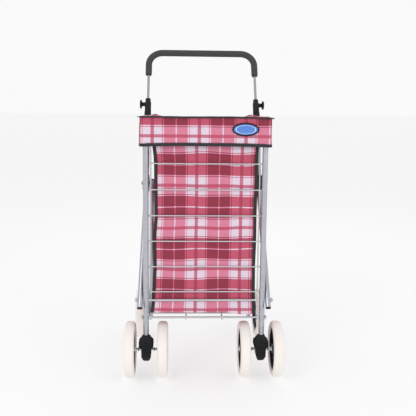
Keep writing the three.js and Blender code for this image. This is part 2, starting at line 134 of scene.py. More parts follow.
class StageSettings(bpy.types.PropertyGroup):
    """Camera, floor and light."""

    camera: FloatVectorProperty(
        name="Camera", description="Where the camera stands", subtype="TRANSLATION", unit="LENGTH",
        size=3, default=(-0.0777, -2.1495, 0.822),
    )
    lens: FloatProperty(name="Lens", description="Focal length in millimetres", default=60.27)
    heading: FloatProperty(
        name="Heading", description="Turn of the view to the right", subtype="ANGLE", default=0.0440
    )
    pitch: FloatProperty(name="Pitch", description="How far the camera looks down", subtype="ANGLE",
        default=0.1585)
    roll: FloatProperty(name="Roll", description="Camera tilted sideways", subtype="ANGLE", default=0.0111)
    light: FloatProperty(name="Light", description="Strength of the light from all round", min=0,
        default=0.78)
    glow: FloatProperty(name="Glow", description="Light that the floor gives back by itself", min=0,
        default=0.605)
    backdrop: colour_property("Backdrop", "Colour behind the trolley", (0.955, 0.955, 0.955))
    floor: colour_property("Floor", "Colour of the floor", (0.38, 0.38, 0.38))


# ---------------------------------------------------------------- places from the frame
def joint_point(name):
    return Vector(JOINTS[name]["pos_m"])


BOXES = {}


def node_box(node):
    """The lowest and highest corner of a node, kept after the first time."""
    if node not in BOXES:
        BOXES[node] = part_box(node)
    return BOXES[node]


def centre_of(node):
    low, high = node_box(node)
    return (low + high) / 2


def ends_of(node, direction):
    """The middles of a straight node's two end faces, in the order of direction."""
    direction = Vector(direction).normalized()
    points = [v.co for v in frame["nodes"][node].data.vertices]
    along = [p.dot(direction) for p in points]

    def middle(value):
        near = [p for p, a in zip(points, along) if abs(a - value) < MM]
        return sum(near, Vector()) / len(near)

    return middle(min(along)), middle(max(along))


# ---------------------------------------------------------------- meshes
def make_object(name, vertices, faces):
    mesh = bpy.data.meshes.new(name)
    mesh.from_pydata([tuple(v) for v in vertices], [], faces)
    mesh.validate()
    piece = bpy.data.objects.new(name, mesh)
    bpy.context.scene.collection.objects.link(piece)
    return piece


def face_outwards(piece):
    work = bmesh.new()
    work.from_mesh(piece.data)
    bmesh.ops.remove_doubles(work, verts=work.verts, dist=1e-6)
    bmesh.ops.recalc_face_normals(work, faces=work.faces)
    work.to_mesh(piece.data)
    work.free()


def smooth(piece, angle=40):
    """Shades a piece smooth, with sharp edges where its faces meet at more than the angle."""
    piece.data.polygons.foreach_set("use_smooth", [True] * len(piece.data.polygons))
    piece.data.set_sharp_from_angle(angle=math.radians(angle))
    return piece


def bevel(piece, width, segments=3):
    modifier = piece.modifiers.new("Bevel", "BEVEL")
    modifier.width = width
    modifier.segments = segments
    modifier.limit_method = "ANGLE"
    modifier.angle_limit = math.radians(35)
    return piece


def rounded(points, bend, steps=8):
    """A line through the points, with each inner corner rounded to the bend radius."""
    route = [Vector(points[0])]
    for before, corner, after in zip(points, points[1:], points[2:]):
        corner = Vector(corner)
        towards = (Vector(before) - corner).normalized()
        away = (Vector(after) - corner).normalized()
        half = towards.angle(away) / 2
        reach = bend / math.tan(half)
        middle = corner + (towards + away).normalized() * bend / math.sin(half)
        first = corner + towards * reach - middle
        last = corner + away * reach - middle
        turn = first.angle(last)
        axis = first.cross(last).normalized()
        for step in range(steps + 1):
            route.append(middle + Matrix.Rotation(turn * step / steps, 3, axis) @ first)
    route.append(Vector(points[-1]))
    return route


def sweep(name, route, radius, sides=32, flat=1.0, across=None, cap=0.0006):
    """A bar along a route. radius is one number, or one for each point. flat squeezes it along across."""
    route = [Vector(p) for p in route]
    radii = radius if isinstance(radius, (list, tuple)) else [radius] * len(route)
    if cap:
        start = (route[1] - route[0]).normalized() * cap
        end = (route[-2] - route[-1]).normalized() * cap
        route = [route[0], route[0] + start, *route[1:-1], route[-1] + end, route[-1]]
        shrink = lambda r: max(r - cap, r * 0.3)
        radii = [shrink(radii[0]), radii[0], *radii[1:-1], radii[-1], shrink(radii[-1])]
    runs_across = abs((route[1] - route[0]).normalized().x) >= 0.9
    side = across or (Vector((0, 0, 1)) if runs_across else Vector((1, 0, 0)))
    vertices, faces = [], []
    for i, (point, r) in enumerate(zip(route, radii)):
        ahead = route[min(i + 1, len(route) - 1)] - route[max(i - 1, 0)]
        tangent = ahead.normalized()
        side = (side - tangent * side.dot(tangent)).normalized()
        other = tangent.cross(side)
        for k in range(sides):
            angle = 2 * math.pi * k / sides
            vertices.append(point + side * (r * flat * math.cos(angle)) + other * (r * math.sin(angle)))
    for i in range(len(route) - 1):
        for k in range(sides):
            a, b = i * sides + k, i * sides + (k + 1) % sides
            faces.append((a, b, b + sides, a + sides))
    faces.append(tuple(reversed(range(sides))))
    last = (len(route) - 1) * sides
    faces.append(tuple(range(last, last + sides)))
    piece = make_object(name, vertices, faces)
    face_outwards(piece)
    return smooth(piece)


def revolve(name, profile, centre, segments=64, angle=30):
    """A solid of revolution about an axis along X through the centre. profile holds (radius, along) pairs,
    and starts and ends on the axis or closes on itself."""
    closed = profile[0] == profile[-1]
    rows = profile[:-1] if closed else profile
    vertices, faces = [], []
    for radius, along in rows:
        for k in range(segments):
            turn = 2 * math.pi * k / segments
            offset = Vector((along, radius * math.cos(turn), radius * math.sin(turn)))
            vertices.append(Vector(centre) + offset)
    count = len(rows)
    for i in range(count if closed else count - 1):
        for k in range(segments):
            a, b = i * segments + k, i * segments + (k + 1) % segments
            c, d = ((i + 1) % count) * segments + (k + 1) % segments, ((i + 1) % count) * segments + k
            faces.append((a, b, c, d))
    piece = make_object(name, vertices, faces)
    face_outwards(piece)
    return smooth(piece, angle)


def refined(node, name=None, width=0.0008, segments=3):
    """A copy of a node's mesh with its flat faces joined up again and its edges rounded."""
    source = frame["nodes"][node].data
    work = bmesh.new()
    work.from_mesh(source)
    bmesh.ops.remove_doubles(work, verts=work.verts, dist=2e-5)
    bmesh.ops.dissolve_limit(work, angle_limit=math.radians(1.5), verts=work.verts, edges=work.edges)
    bmesh.ops.recalc_face_normals(work, faces=work.faces)
    mesh = bpy.data.meshes.new(name or f"{node}_finished")
    work.to_mesh(mesh)
    work.free()
    piece = bpy.data.objects.new(mesh.name, mesh)
    bpy.context.scene.collection.objects.link(piece)
    smooth(piece, 32)
    if width:
        bevel(piece, width, segments)
    return piece


def joined(name, pieces):
    """Several meshes as one object."""
    work = bmesh.new()
    for piece in pieces:
        work.from_mesh(piece.data)
    mesh = bpy.data.meshes.new(name)
    work.to_mesh(mesh)
    work.free()
    for piece in pieces:
        bpy.data.objects.remove(piece)
    whole = bpy.data.objects.new(name, mesh)
    bpy.context.scene.collection.objects.link(whole)
    return smooth(whole, 32)


def finish(piece, body, slot, material, *nodes):
    """Gives a piece its material and its body, and hides the nodes that it stands for. The slot is not used.
    """
    piece.data.materials.clear()
    piece.data.materials.append(material)
    if body:
        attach(piece, body)
    if nodes:
        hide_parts(*nodes)
    return piece


# ---------------------------------------------------------------- node trees
def add_node(tree, kind, inputs=None, **settings):
    """A node with its settings and its inputs. An input is a value or another node's output."""
    node = tree.nodes.new(kind)
    for key, value in settings.items():
        setattr(node, key, value)
    for key, value in (inputs or {}).items():
        if isinstance(value, bpy.types.NodeSocket):
            tree.links.new(value, node.inputs[key])
        else:
            node.inputs[key].default_value = value
    return node


def calc(tree, operation, *values, clamp=False):
    inputs = dict(enumerate(values))
    return add_node(tree, "ShaderNodeMath", inputs, operation=operation, use_clamp=clamp).outputs[0]


def mix_colour(tree, factor, first, second, blend="MIX"):
    node = add_node(tree, "ShaderNodeMix", data_type="RGBA", blend_type=blend)
    for index, value in ((0, factor), (6, first), (7, second)):
        if isinstance(value, bpy.types.NodeSocket):
            tree.links.new(value, node.inputs[index])
        elif index:
            node.inputs[index].default_value = (*value[:3], 1)
        else:
            node.inputs[index].default_value = value
    return node.outputs[2]


def ramp(tree, factor, stops, constant=False):
    node = add_node(tree, "ShaderNodeValToRGB", {"Fac": factor})
    node.color_ramp.interpolation = "CONSTANT" if constant else "LINEAR"
    elements = node.color_ramp.elements
    while len(elements) > 1:
        elements.remove(elements[-1])
    for index, (position, value) in enumerate(stops):
        element = elements[0] if index == 0 else elements.new(position)
        element.position = position
        element.color = (*value, 1) if isinstance(value, tuple) else (value, value, value, 1)
    return node.outputs["Color"]


def new_group(name, kind, inputs, outputs):
    """An empty node group with named sockets, and its input and output nodes."""
    tree = bpy.data.node_groups.new(name, kind)
    for label, socket, default in inputs:
        made = tree.interface.new_socket(name=label, in_out="INPUT", socket_type=socket)
        if default is not None:
            made.default_value = default
    for label, socket in outputs:
        tree.interface.new_socket(name=label, in_out="OUTPUT", socket_type=socket)
    return tree, tree.nodes.new("NodeGroupInput"), tree.nodes.new("NodeGroupOutput")


def shared_group(name, build):
    return bpy.data.node_groups.get(name) or build(name)


def use_group(tree, name, build, inputs):
    group = shared_group(name, build)
    node = tree.nodes.new("ShaderNodeGroup")
    node.node_tree = group
    for key, value in inputs.items():
        if isinstance(value, bpy.types.NodeSocket):
            tree.links.new(value, node.inputs[key])
        else:
            node.inputs[key].default_value = value
    return node.outputs


# The stripes of one repeat of the plaid, in millimetres: the broad pale pair, then the broad dark pair.
SETT = (
    ("pale", 20.4), ("red", 8.9), ("pale", 20.4), ("dark", 2.2), ("pale", 3.2),
    ("dark", 29.6), ("pale", 3.5), ("dark", 28.0), ("pale", 3.2), ("dark", 2.2),
)


def build_sett(name):
    """Where the stripes are: a coordinate in repeats goes in, masks of dark and red yarn come out."""
    tree, given, result = new_group(
        name, "ShaderNodeTree",
        [("Repeat", "NodeSocketFloat", 0.0)],
        [("Dark", "NodeSocketFloat"), ("Red", "NodeSocketFloat")],
    )
    within = calc(tree, "FRACT", given.outputs["Repeat"])
    yarns = {"pale": (0.0, 0.0, 0.0), "dark": (1.0, 0.0, 0.0), "red": (0.0, 1.0, 0.0)}
    whole = sum(width for _, width in SETT)
    stops, at = [], 0.0
    for yarn, width in SETT:
        stops.append((at / whole, yarns[yarn]))
        at += width
    masks = add_node(tree, "ShaderNodeSeparateColor", {"Color": ramp(tree, within, stops, constant=True)})
    tree.links.new(masks.outputs["Red"], result.inputs["Dark"])
    tree.links.new(masks.outputs["Green"], result.inputs["Red"])
    return tree


def build_weave(name):
    """Threads crossing over and under: height for a bump and for the painted highlight and shade of the
    threads, and a mask of the thread that is on top.
    """
    tree, given, result = new_group(
        name, "ShaderNodeTree",
        [("Vector", "NodeSocketVector", None), ("Thread", "NodeSocketFloat", 0.001)],
        [("Height", "NodeSocketFloat"), ("Warp", "NodeSocketFloat")],
    )
    place = add_node(tree, "ShaderNodeSeparateXYZ", {"Vector": given.outputs["Vector"]})
    waves = []
    for axis in ("X", "Y"):
        turns = calc(tree, "DIVIDE", place.outputs[axis], given.outputs["Thread"])
        waves.append(calc(tree, "ABSOLUTE", calc(tree, "SINE", calc(tree, "MULTIPLY", turns, math.pi))))
        waves.append(calc(tree, "FLOOR", turns))
    across, column, along, row = waves
    odd = calc(tree, "FLOORED_MODULO", calc(tree, "ADD", column, row), 2.0)
    warp = calc(tree, "MULTIPLY", across, odd)
    weft = calc(tree, "MULTIPLY", along, calc(tree, "SUBTRACT", 1.0, odd))
    tree.links.new(calc(tree, "ADD", warp, weft), result.inputs["Height"])
    tree.links.new(odd, result.inputs["Warp"])
    return tree


def build_mottle(name):
    """Soft patches of two sizes, from 0 to 1."""
    tree, given, result = new_group(
        name, "ShaderNodeTree",
        [("Vector", "NodeSocketVector", None), ("Scale", "NodeSocketFloat", 20.0),
            ("Fine", "NodeSocketFloat", 6.0)],
        [("Factor", "NodeSocketFloat"), ("Grain", "NodeSocketFloat")],
    )
    coarse = add_node(
        tree, "ShaderNodeTexNoise",
        {"Vector": given.outputs["Vector"], "Scale": given.outputs["Scale"], "Detail": 3.0,
            "Roughness": 0.6},
    )
    fine_scale = calc(tree, "MULTIPLY", given.outputs["Scale"], given.outputs["Fine"])
    fine = add_node(
        tree, "ShaderNodeTexNoise", {"Vector": given.outputs["Vector"], "Scale": fine_scale, "Detail": 4.0}
    )
    tree.links.new(coarse.outputs["Fac"], result.inputs["Factor"])
    tree.links.new(fine.outputs["Fac"], result.inputs["Grain"])
    return tree


def build_wear(name):
    """A mask of rubbed edges and small scuffs."""
    tree, given, result = new_group(
        name, "ShaderNodeTree",
        [("Vector", "NodeSocketVector", None), ("Amount", "NodeSocketFloat", 0.5)],
        [("Mask", "NodeSocketFloat")],
    )
    edge = add_node(tree, "ShaderNodeNewGeometry").outputs["Pointiness"]
    sharp = ramp(tree, edge, [(0.50, 0.0), (0.62, 1.0)])
    patches = add_node(tree, "ShaderNodeTexNoise",
        {"Vector": given.outputs["Vector"], "Scale": 90.0, "Detail": 5.0})
    broken = ramp(tree, patches.outputs["Fac"], [(0.48, 0.0), (0.68, 1.0)])
    scuffs = add_node(
        tree, "ShaderNodeTexNoise", {"Vector": given.outputs["Vector"], "Scale": 240.0, "Detail": 2.0}
    )
    spots = ramp(tree, scuffs.outputs["Fac"], [(0.66, 0.0), (0.74, 0.6)])
    mask = calc(tree, "ADD", calc(tree, "MULTIPLY", sharp, broken), calc(tree, "MULTIPLY", spots, 0.3),
        clamp=True)
    tree.links.new(calc(tree, "MULTIPLY", mask, given.outputs["Amount"]), result.inputs["Mask"])
    return tree


def build_dust(name):
    """A film of dust on the faces that look up."""
    tree, given, result = new_group(
        name, "ShaderNodeTree",
        [("Vector", "NodeSocketVector", None), ("Amount", "NodeSocketFloat", 0.1)],
        [("Mask", "NodeSocketFloat")],
    )
    normal = add_node(tree, "ShaderNodeNewGeometry").outputs["Normal"]
    upward = add_node(tree, "ShaderNodeSeparateXYZ", {"Vector": normal}).outputs["Z"]
    patches = add_node(tree, "ShaderNodeTexNoise",
        {"Vector": given.outputs["Vector"], "Scale": 35.0, "Detail": 4.0})
    lying = calc(tree, "MULTIPLY", calc(tree, "MAXIMUM", upward, 0.0), patches.outputs["Fac"])
    tree.links.new(calc(tree, "MULTIPLY", lying, given.outputs["Amount"]), result.inputs["Mask"])
    return tree


# ---------------------------------------------------------------- materials
def new_material(name):
    """A material with an empty tree but for its surface and output."""
    material = bpy.data.materials.new(name)
    material.use_nodes = True
    tree = material.node_tree
    tree.nodes.clear()
    surface = tree.nodes.new("ShaderNodeBsdfPrincipled")
    output = tree.nodes.new("ShaderNodeOutputMaterial")
    tree.links.new(surface.outputs[0], output.inputs[0])
    place = tree.nodes.new("ShaderNodeTexCoord")
    return material, tree, surface, place


def bump(tree, surface, height, strength, distance):
    node = add_node(tree, "ShaderNodeBump", {"Height": height, "Strength": strength, "Distance": distance})
    tree.links.new(node.outputs[0], surface.inputs["Normal"])


def once(build):
    """Gives the material of this name, and makes it if there is none. The part brings its own cream_tyre and
    grip_foam, so those two are used as they come and their builders here don't run."""
    name = build.__name__

    def get():
        return bpy.data.materials.get(name) or build(name)

    return get


def metal_surface(name, colour, roughness, metallic, scale, wear, grain, coat=0.0):
    material, tree, surface, place = new_material(name)
    here = place.outputs["Object"]
    mottle = use_group(tree, "Mottle", build_mottle, {"Vector": here, "Scale": scale, "Fine": 9.0})
    worn = use_group(tree, "Edge wear", build_wear, {"Vector": here, "Amount": wear})
    dust = use_group(tree, "Dust", build_dust, {"Vector": here, "Amount": 0.10})
    shade = tuple(c * 0.86 for c in colour)
    varied = mix_colour(tree, mottle["Factor"], shade, colour)
    rubbed = mix_colour(tree, worn["Mask"], varied, (0.30, 0.30, 0.31))
    dusty = mix_colour(tree, dust["Mask"], rubbed, (0.62, 0.60, 0.57))
    tree.links.new(dusty, surface.inputs["Base Color"])
    rough = calc(tree, "ADD", calc(tree, "MULTIPLY", mottle["Grain"], 0.16), roughness - 0.08)
    tree.links.new(calc(tree, "ADD", rough, calc(tree, "MULTIPLY", worn["Mask"], 0.2)),
        surface.inputs["Roughness"])
    surface.inputs["Metallic"].default_value = metallic
    surface.inputs["Coat Weight"].default_value = coat
    surface.inputs["Coat Roughness"].default_value = 0.2
    bump(tree, surface, mottle["Grain"], grain, 0.0002)
    return material


@once
def silver_paint(name):
    return metal_surface(name, tuple(settings("metal").silver), 0.34, 0.85, 30.0, 0.35, 0.18, coat=0.15)


@once
def bright_wire(name):
    return metal_surface(name, tuple(settings("metal").wire), 0.26, 1.0, 60.0, 0.2, 0.12)


@once
def zinc_plate(name):
    return metal_surface(name, (0.66, 0.67, 0.69), 0.33, 1.0, 80.0, 0.3, 0.25)


@once
def polished_chrome(name):
    return metal_surface(name, tuple(settings("metal").chrome), 0.13, 1.0, 40.0, 0.1, 0.04)


def plastic_surface(name, colour, roughness, grain_scale, grain, wear):
    material, tree, surface, place = new_material(name)
    here = place.outputs["Object"]
    mottle = use_group(tree, "Mottle", build_mottle, {"Vector": here, "Scale": grain_scale, "Fine": 14.0})
    worn = use_group(tree, "Edge wear", build_wear, {"Vector": here, "Amount": wear})
    dust = use_group(tree, "Dust", build_dust, {"Vector": here, "Amount": 0.07})
    varied = mix_colour(tree, mottle["Factor"], tuple(c * 0.75 for c in colour),
        tuple(c * 1.3 for c in colour))
    rubbed = mix_colour(tree, worn["Mask"], varied, tuple(c * 2 + 0.02 for c in colour))
    dusty = mix_colour(tree, dust["Mask"], rubbed, (0.45, 0.43, 0.40))
    tree.links.new(dusty, surface.inputs["Base Color"])
    rough = calc(tree, "ADD", calc(tree, "MULTIPLY", mottle["Grain"], 0.25), roughness - 0.12)
    tree.links.new(rough, surface.inputs["Roughness"])
    surface.inputs["Specular IOR Level"].default_value = 0.2
    bump(tree, surface, mottle["Grain"], grain, 0.00025)
    return material


@once
def moulded_black(name):
    return plastic_surface(name, (0.007, 0.0072, 0.0085), 0.46, 60.0, 0.35, 0.3)


@once
def hub_black(name):
    return plastic_surface(name, (0.007, 0.007, 0.008), 0.42, 50.0, 0.25, 0.25)


@once
def grip_foam(name):
    material, tree, surface, place = new_material(name)
    here = place.outputs["Object"]
    mottle = use_group(tree, "Mottle", build_mottle, {"Vector": here, "Scale": 45.0, "Fine": 10.0})
    cells = add_node(tree, "ShaderNodeTexVoronoi", {"Vector": here, "Scale": 900.0}, feature="F1")
    dust = use_group(tree, "Dust", build_dust, {"Vector": here, "Amount": 0.08})
    base = mix_colour(tree, mottle["Factor"], (0.003, 0.003, 0.0035), (0.007, 0.007, 0.0075))
    tree.links.new(mix_colour(tree, dust["Mask"], base, (0.35, 0.34, 0.33)), surface.inputs["Base Color"])
    surface.inputs["Roughness"].default_value = 0.78
    surface.inputs["Sheen Weight"].default_value = 0.12
    surface.inputs["Sheen Roughness"].default_value = 0.4
    bump(tree, surface, cells.outputs["Distance"], 0.5, 0.0004)
    return material


@once
def cream_tyre(name):
    """Foam rubber: cream, a little mottled, darker where it is scuffed."""
    material, tree, surface, place = new_material(name)
    here = place.outputs["Object"]
    cream = tuple(settings("wheels").tyre)
    mottle = use_group(tree, "Mottle", build_mottle, {"Vector": here, "Scale": 38.0, "Fine": 12.0})
    patch = ramp(tree, mottle["Factor"], [(0.38, 0.0), (0.62, 1.0)])
    base = mix_colour(tree, patch, tuple(c * 0.90 for c in cream), tuple(min(c * 1.08, 0.9) for c in cream))
    warm = mix_colour(tree, calc(tree, "MULTIPLY", mottle["Grain"], 0.35), base, (0.56, 0.44, 0.35))
    scuff = use_group(tree, "Edge wear", build_wear, {"Vector": here, "Amount": 0.35})
    tree.links.new(mix_colour(tree, scuff["Mask"], warm, (0.42, 0.36, 0.32)), surface.inputs["Base Color"])
    surface.inputs["Roughness"].default_value = 0.72
    surface.inputs["Subsurface Weight"].default_value = 0.04
    surface.inputs["Subsurface Radius"].default_value = (0.004, 0.003, 0.002)
    bump(tree, surface, mottle["Grain"], 0.35, 0.0004)
    return material


def plaid_material(name, up_shift, across_shift, across=None):
    """Plaid cloth on the piece's own UV map, which is in metres. The shifts place the stripes."""
    cloth = settings("cloth")
    material, tree, surface, place = new_material(name)
    flat = add_node(tree, "ShaderNodeSeparateXYZ", {"Vector": place.outputs["UV"]})
    masks = []
    for axis, repeat, shift in (
        ("X", across or cloth.sett_across, across_shift),
        ("Y", -cloth.sett_up, up_shift),
    ):
        count = calc(tree, "ADD", calc(tree, "DIVIDE", flat.outputs[axis], repeat), shift)
        masks.append(use_group(tree, "Sett", build_sett, {"Repeat": count}))
    column, row = masks
    dark_rows = mix_colour(tree, row["Dark"], tuple(cloth.pale), tuple(cloth.rose))
    dark_both = mix_colour(tree, row["Dark"], tuple(cloth.pink), tuple(cloth.maroon))
    woven = mix_colour(tree, column["Dark"], dark_rows, dark_both)
    red_yarn = mix_colour(tree, calc(tree, "MULTIPLY", row["Dark"], 0.55), tuple(cloth.red),
        tuple(cloth.maroon))
    lengthwise = mix_colour(tree, calc(tree, "MULTIPLY", column["Red"], 0.80), woven, red_yarn)
    crosswise = mix_colour(tree, calc(tree, "MULTIPLY", row["Red"], 0.80), lengthwise, tuple(cloth.red))
    mottle = use_group(
        tree, "Mottle", build_mottle, {"Vector": place.outputs["Object"], "Scale": 28.0, "Fine": 25.0}
    )
    weave = use_group(tree, "Weave", build_weave, {"Vector": place.outputs["UV"], "Thread": cloth.thread})
    worn = mix_colour(tree, calc(tree, "MULTIPLY", mottle["Grain"], 0.07), crosswise, (0.70, 0.52, 0.60))
    # Painted highlight: the crowns of the threads are lightened where the weave stands highest, and below,
    # painted shade darkens the hollows between them.
    top = mix_colour(tree, calc(tree, "MULTIPLY", weave["Height"], 0.10), worn, (0.95, 0.92, 0.94),
        "SOFT_LIGHT")
    shadow = calc(tree, "MULTIPLY", calc(tree, "SUBTRACT", 1.0, weave["Height"]), 0.22)
    deep = mix_colour(tree, shadow, top, (0.05, 0.01, 0.02))
    tree.links.new(deep, surface.inputs["Base Color"])
    surface.inputs["Roughness"].default_value = 0.88
    surface.inputs["Specular IOR Level"].default_value = 0.25
    surface.inputs["Sheen Weight"].default_value = 0.05
    surface.inputs["Sheen Roughness"].default_value = 0.5
    relief = calc(tree, "ADD", weave["Height"], calc(tree, "MULTIPLY", mottle["Factor"], 1.6))
    bump(tree, surface, relief, 0.45, 0.00035)
    return material


@once
def black_tape(name):
    """Black woven binding, ribbed across its length."""
    material, tree, surface, place = new_material(name)
    here = place.outputs["Object"]
    weave = add_node(tree, "ShaderNodeTexWave", {"Vector": here, "Scale": 420.0, "Distortion": 0.6},
        bands_direction="DIAGONAL")
    mottle = use_group(tree, "Mottle", build_mottle, {"Vector": here, "Scale": 40.0, "Fine": 12.0})
    base = mix_colour(tree, mottle["Factor"], (0.006, 0.006, 0.007), (0.020, 0.020, 0.023))
    lit = mix_colour(tree, calc(tree, "MULTIPLY", weave.outputs["Fac"], 0.3), base, (0.045, 0.045, 0.05))
    tree.links.new(lit, surface.inputs["Base Color"])
    surface.inputs["Roughness"].default_value = 0.8
    surface.inputs["Sheen Weight"].default_value = 0.2
    bump(tree, surface, weave.outputs["Fac"], 0.4, 0.0003)
    return material


@once
def dark_thread(name):
    return plastic_surface(name, (0.045, 0.045, 0.05), 0.7, 200.0, 0.3, 0.0)


@once
def badge_rubber(name):
    return plastic_surface(name, (0.010, 0.010, 0.012), 0.3, 80.0, 0.15, 0.2)


@once
def badge_enamel(name):
    """Glossy blue with a thin pale oval line inside its rim."""
    material, tree, surface, place = new_material(name)
    low, high = node_box("badge_face")
    middle = (low + high) / 2
    size = (high - low) / 2
    scaled = add_node(
        tree, "ShaderNodeMapping",
        {
            "Vector": place.outputs["Object"],
            "Location": (-middle.x / size.x, 0, -middle.z / size.z),
            "Scale": (1 / size.x, 0, 1 / size.z),
        },
    )
    out = add_node(tree, "ShaderNodeVectorMath", {0: scaled.outputs[0]},
        operation="LENGTH").outputs["Value"]
    line = ramp(tree, out, [(0.0, 0.0), (0.80, 1.0), (0.85, 0.0)], constant=True)
    mottle = use_group(tree, "Mottle", build_mottle,
        {"Vector": place.outputs["Object"], "Scale": 60.0, "Fine": 8.0})
    blue = mix_colour(tree, mottle["Factor"], (0.068, 0.200, 0.62), (0.092, 0.245, 0.69))
    tree.links.new(mix_colour(tree, line, blue, (0.82, 0.86, 0.95)), surface.inputs["Base Color"])
    surface.inputs["Roughness"].default_value = 0.22
    surface.inputs["Coat Weight"].default_value = 0.6
    surface.inputs["Coat Roughness"].default_value = 0.08
    bump(tree, surface, mottle["Grain"], 0.05, 0.0002)
    return material


def settings(which):
    return getattr(bpy.context.scene, f"trolley_{which}")


# ---------------------------------------------------------------- repeats
def build_repeat(name):
    """Geometry Nodes: a piece at every point, turned and sized by the points' own attributes."""
    tree, given, result = new_group(
        name, "GeometryNodeTree",
        [
            ("Geometry", "NodeSocketGeometry", None),
            ("Piece", "NodeSocketObject", None),
            ("Material", "NodeSocketMaterial", None),
        ],
        [("Geometry", "NodeSocketGeometry")],
    )
    piece = add_node(tree, "GeometryNodeObjectInfo", {"Object": given.outputs["Piece"]})
    turn = add_node(tree, "GeometryNodeInputNamedAttribute", {"Name": "turn"}, data_type="FLOAT_VECTOR")
    size = add_node(tree, "GeometryNodeInputNamedAttribute", {"Name": "size"}, data_type="FLOAT_VECTOR")
    rotation = add_node(tree, "FunctionNodeEulerToRotation", {"Euler": turn.outputs["Attribute"]})
    placed = add_node(
        tree, "GeometryNodeInstanceOnPoints",
        {
            "Points": given.outputs["Geometry"],
            "Instance": piece.outputs["Geometry"],
            "Rotation": rotation.outputs[0],
            "Scale": size.outputs["Attribute"],
        },
    )
    real = add_node(tree, "GeometryNodeRealizeInstances", {"Geometry": placed.outputs["Instances"]})
    painted = add_node(
        tree, "GeometryNodeSetMaterial",
        {"Geometry": real.outputs["Geometry"], "Material": given.outputs["Material"]},
    )
    tree.links.new(painted.outputs["Geometry"], result.inputs["Geometry"])
    return tree


def build_wires(name):
    """Geometry Nodes: a round wire of the given radius along every edge chain, with closed ends."""
    tree, given, result = new_group(
        name, "GeometryNodeTree",
        [
            ("Geometry", "NodeSocketGeometry", None),
            ("Radius", "NodeSocketFloat", 0.002),
            ("Sides", "NodeSocketInt", 14),
            ("Material", "NodeSocketMaterial", None),
        ],
        [("Geometry", "NodeSocketGeometry")],
    )
    lines = add_node(tree, "GeometryNodeMeshToCurve", {"Mesh": given.outputs["Geometry"]})
    section = add_node(
        tree, "GeometryNodeCurvePrimitiveCircle",
        {"Resolution": given.outputs["Sides"], "Radius": given.outputs["Radius"]},
    )
    swept = add_node(
        tree, "GeometryNodeCurveToMesh",
        {"Curve": lines.outputs["Curve"], "Profile Curve": section.outputs["Curve"], "Fill Caps": True},
    )
    real = add_node(tree, "GeometryNodeRealizeInstances", {"Geometry": swept.outputs["Mesh"]})
    painted = add_node(
        tree, "GeometryNodeSetMaterial",
        {"Geometry": real.outputs["Geometry"], "Material": given.outputs["Material"]},
    )
    tree.links.new(painted.outputs["Geometry"], result.inputs["Geometry"])
    return tree


def baked(piece):
    """The piece with its modifiers made part of a plain mesh."""
    bpy.context.view_layer.update()
    graph = bpy.context.evaluated_depsgraph_get()
    mesh = bpy.data.meshes.new_from_object(
        piece.evaluated_get(graph), preserve_all_data_layers=True, depsgraph=graph
    )
    piece.modifiers.clear()
    piece.data = mesh
    mesh.name = piece.name
    return piece


def run_tree(piece, group, inputs):
    """Runs a Geometry Nodes tree on a piece and keeps the result as its mesh."""
    modifier = piece.modifiers.new(group.name, "NODES")
    modifier.node_group = group
    sockets = {
        item.name: item.identifier
        for item in group.interface.items_tree
        if item.item_type == "SOCKET" and item.in_out == "INPUT"
    }
    for label, value in inputs.items():
        modifier[sockets[label]] = value
    return smooth(baked(piece), 35)


def repeated(name, piece, places, material):
    """One mesh of a piece at every (point, turn, size), and the piece itself is used up."""
    base = make_object(name, [point for point, _, _ in places], [])
    for label, index in (("turn", 1), ("size", 2)):
        attribute = base.data.attributes.new(label, "FLOAT_VECTOR", "POINT")
        values = [part for place in places for part in place[index]]
        attribute.data.foreach_set("vector", values)
    group = shared_group("Repeat", build_repeat)
    run_tree(base, group, {"Piece": piece, "Material": material})
    for attribute in ("turn", "size"):
        if base.data.attributes.get(attribute):
            base.data.attributes.remove(base.data.attributes[attribute])
    bpy.data.objects.remove(piece)
    return base


def wires(name, lines, radius, material, sides=14):
    """One mesh of round wires along the lines, each a list of points."""
    mesh = bpy.data.meshes.new(name)
    points, edges = [], []
    for line in lines:
        start = len(points)
        points += [tuple(p) for p in line]
        edges += [(start + i, start + i + 1) for i in range(len(line) - 1)]
    mesh.from_pydata(points, edges, [])
    piece = bpy.data.objects.new(name, mesh)
    bpy.context.scene.collection.objects.link(piece)
    group = shared_group("Wires", build_wires)
    return run_tree(piece, group, {"Radius": radius, "Sides": sides, "Material": material})


# ---------------------------------------------------------------- lines of the frame
FRAME_Y = joint_point("frame_fold").y
PIVOT_Z = joint_point("frame_fold").z
SHELF_Z = joint_point("shelf_lift").z
UP_HANDLE = Vector(JOINTS["handle_slide"]["axis"]).normalized()
BEHIND_HANDLE = Vector((0, UP_HANDLE.z, -UP_HANDLE.y))


def on_handle(x, along, behind=0.0):
    """A point of the sloping handle frame, along its tubes from the pivot rod."""
    return Vector((x, FRAME_Y, PIVOT_Z)) + UP_HANDLE * along + BEHIND_HANDLE * behind


def along_handle(point):
    return (point - Vector((0, FRAME_Y, PIVOT_Z))).dot(UP_HANDLE)


def hollow_bar(name, route, radius, bore, sides=32):
    """A tube with open ends and rounded rims."""
    outer = sweep(name, route, radius, sides, cap=0.0005)
    length = 0.02
    inside = []
    for end, inward in ((route[0], route[1]), (route[-1], route[-2])):
        direction = (Vector(inward) - Vector(end)).normalized()
        plug = sweep("bore", [Vector(end) - direction * MM, Vector(end) + direction * length], bore,
            sides, cap=0)
        inside.append(plug)
    for plug in inside:
        modifier = outer.modifiers.new("Bore", "BOOLEAN")
        modifier.object = plug
        modifier.solver = "EXACT"
    baked(outer)
    for plug in inside:
        bpy.data.objects.remove(plug)
    return smooth(outer, 35)


# ---------------------------------------------------------------- operators
class PieceOperator(bpy.types.Operator):
    bl_options = {"REGISTER", "UNDO"}

    def execute(self, context):
        self.build(context)
        return {"FINISHED"}


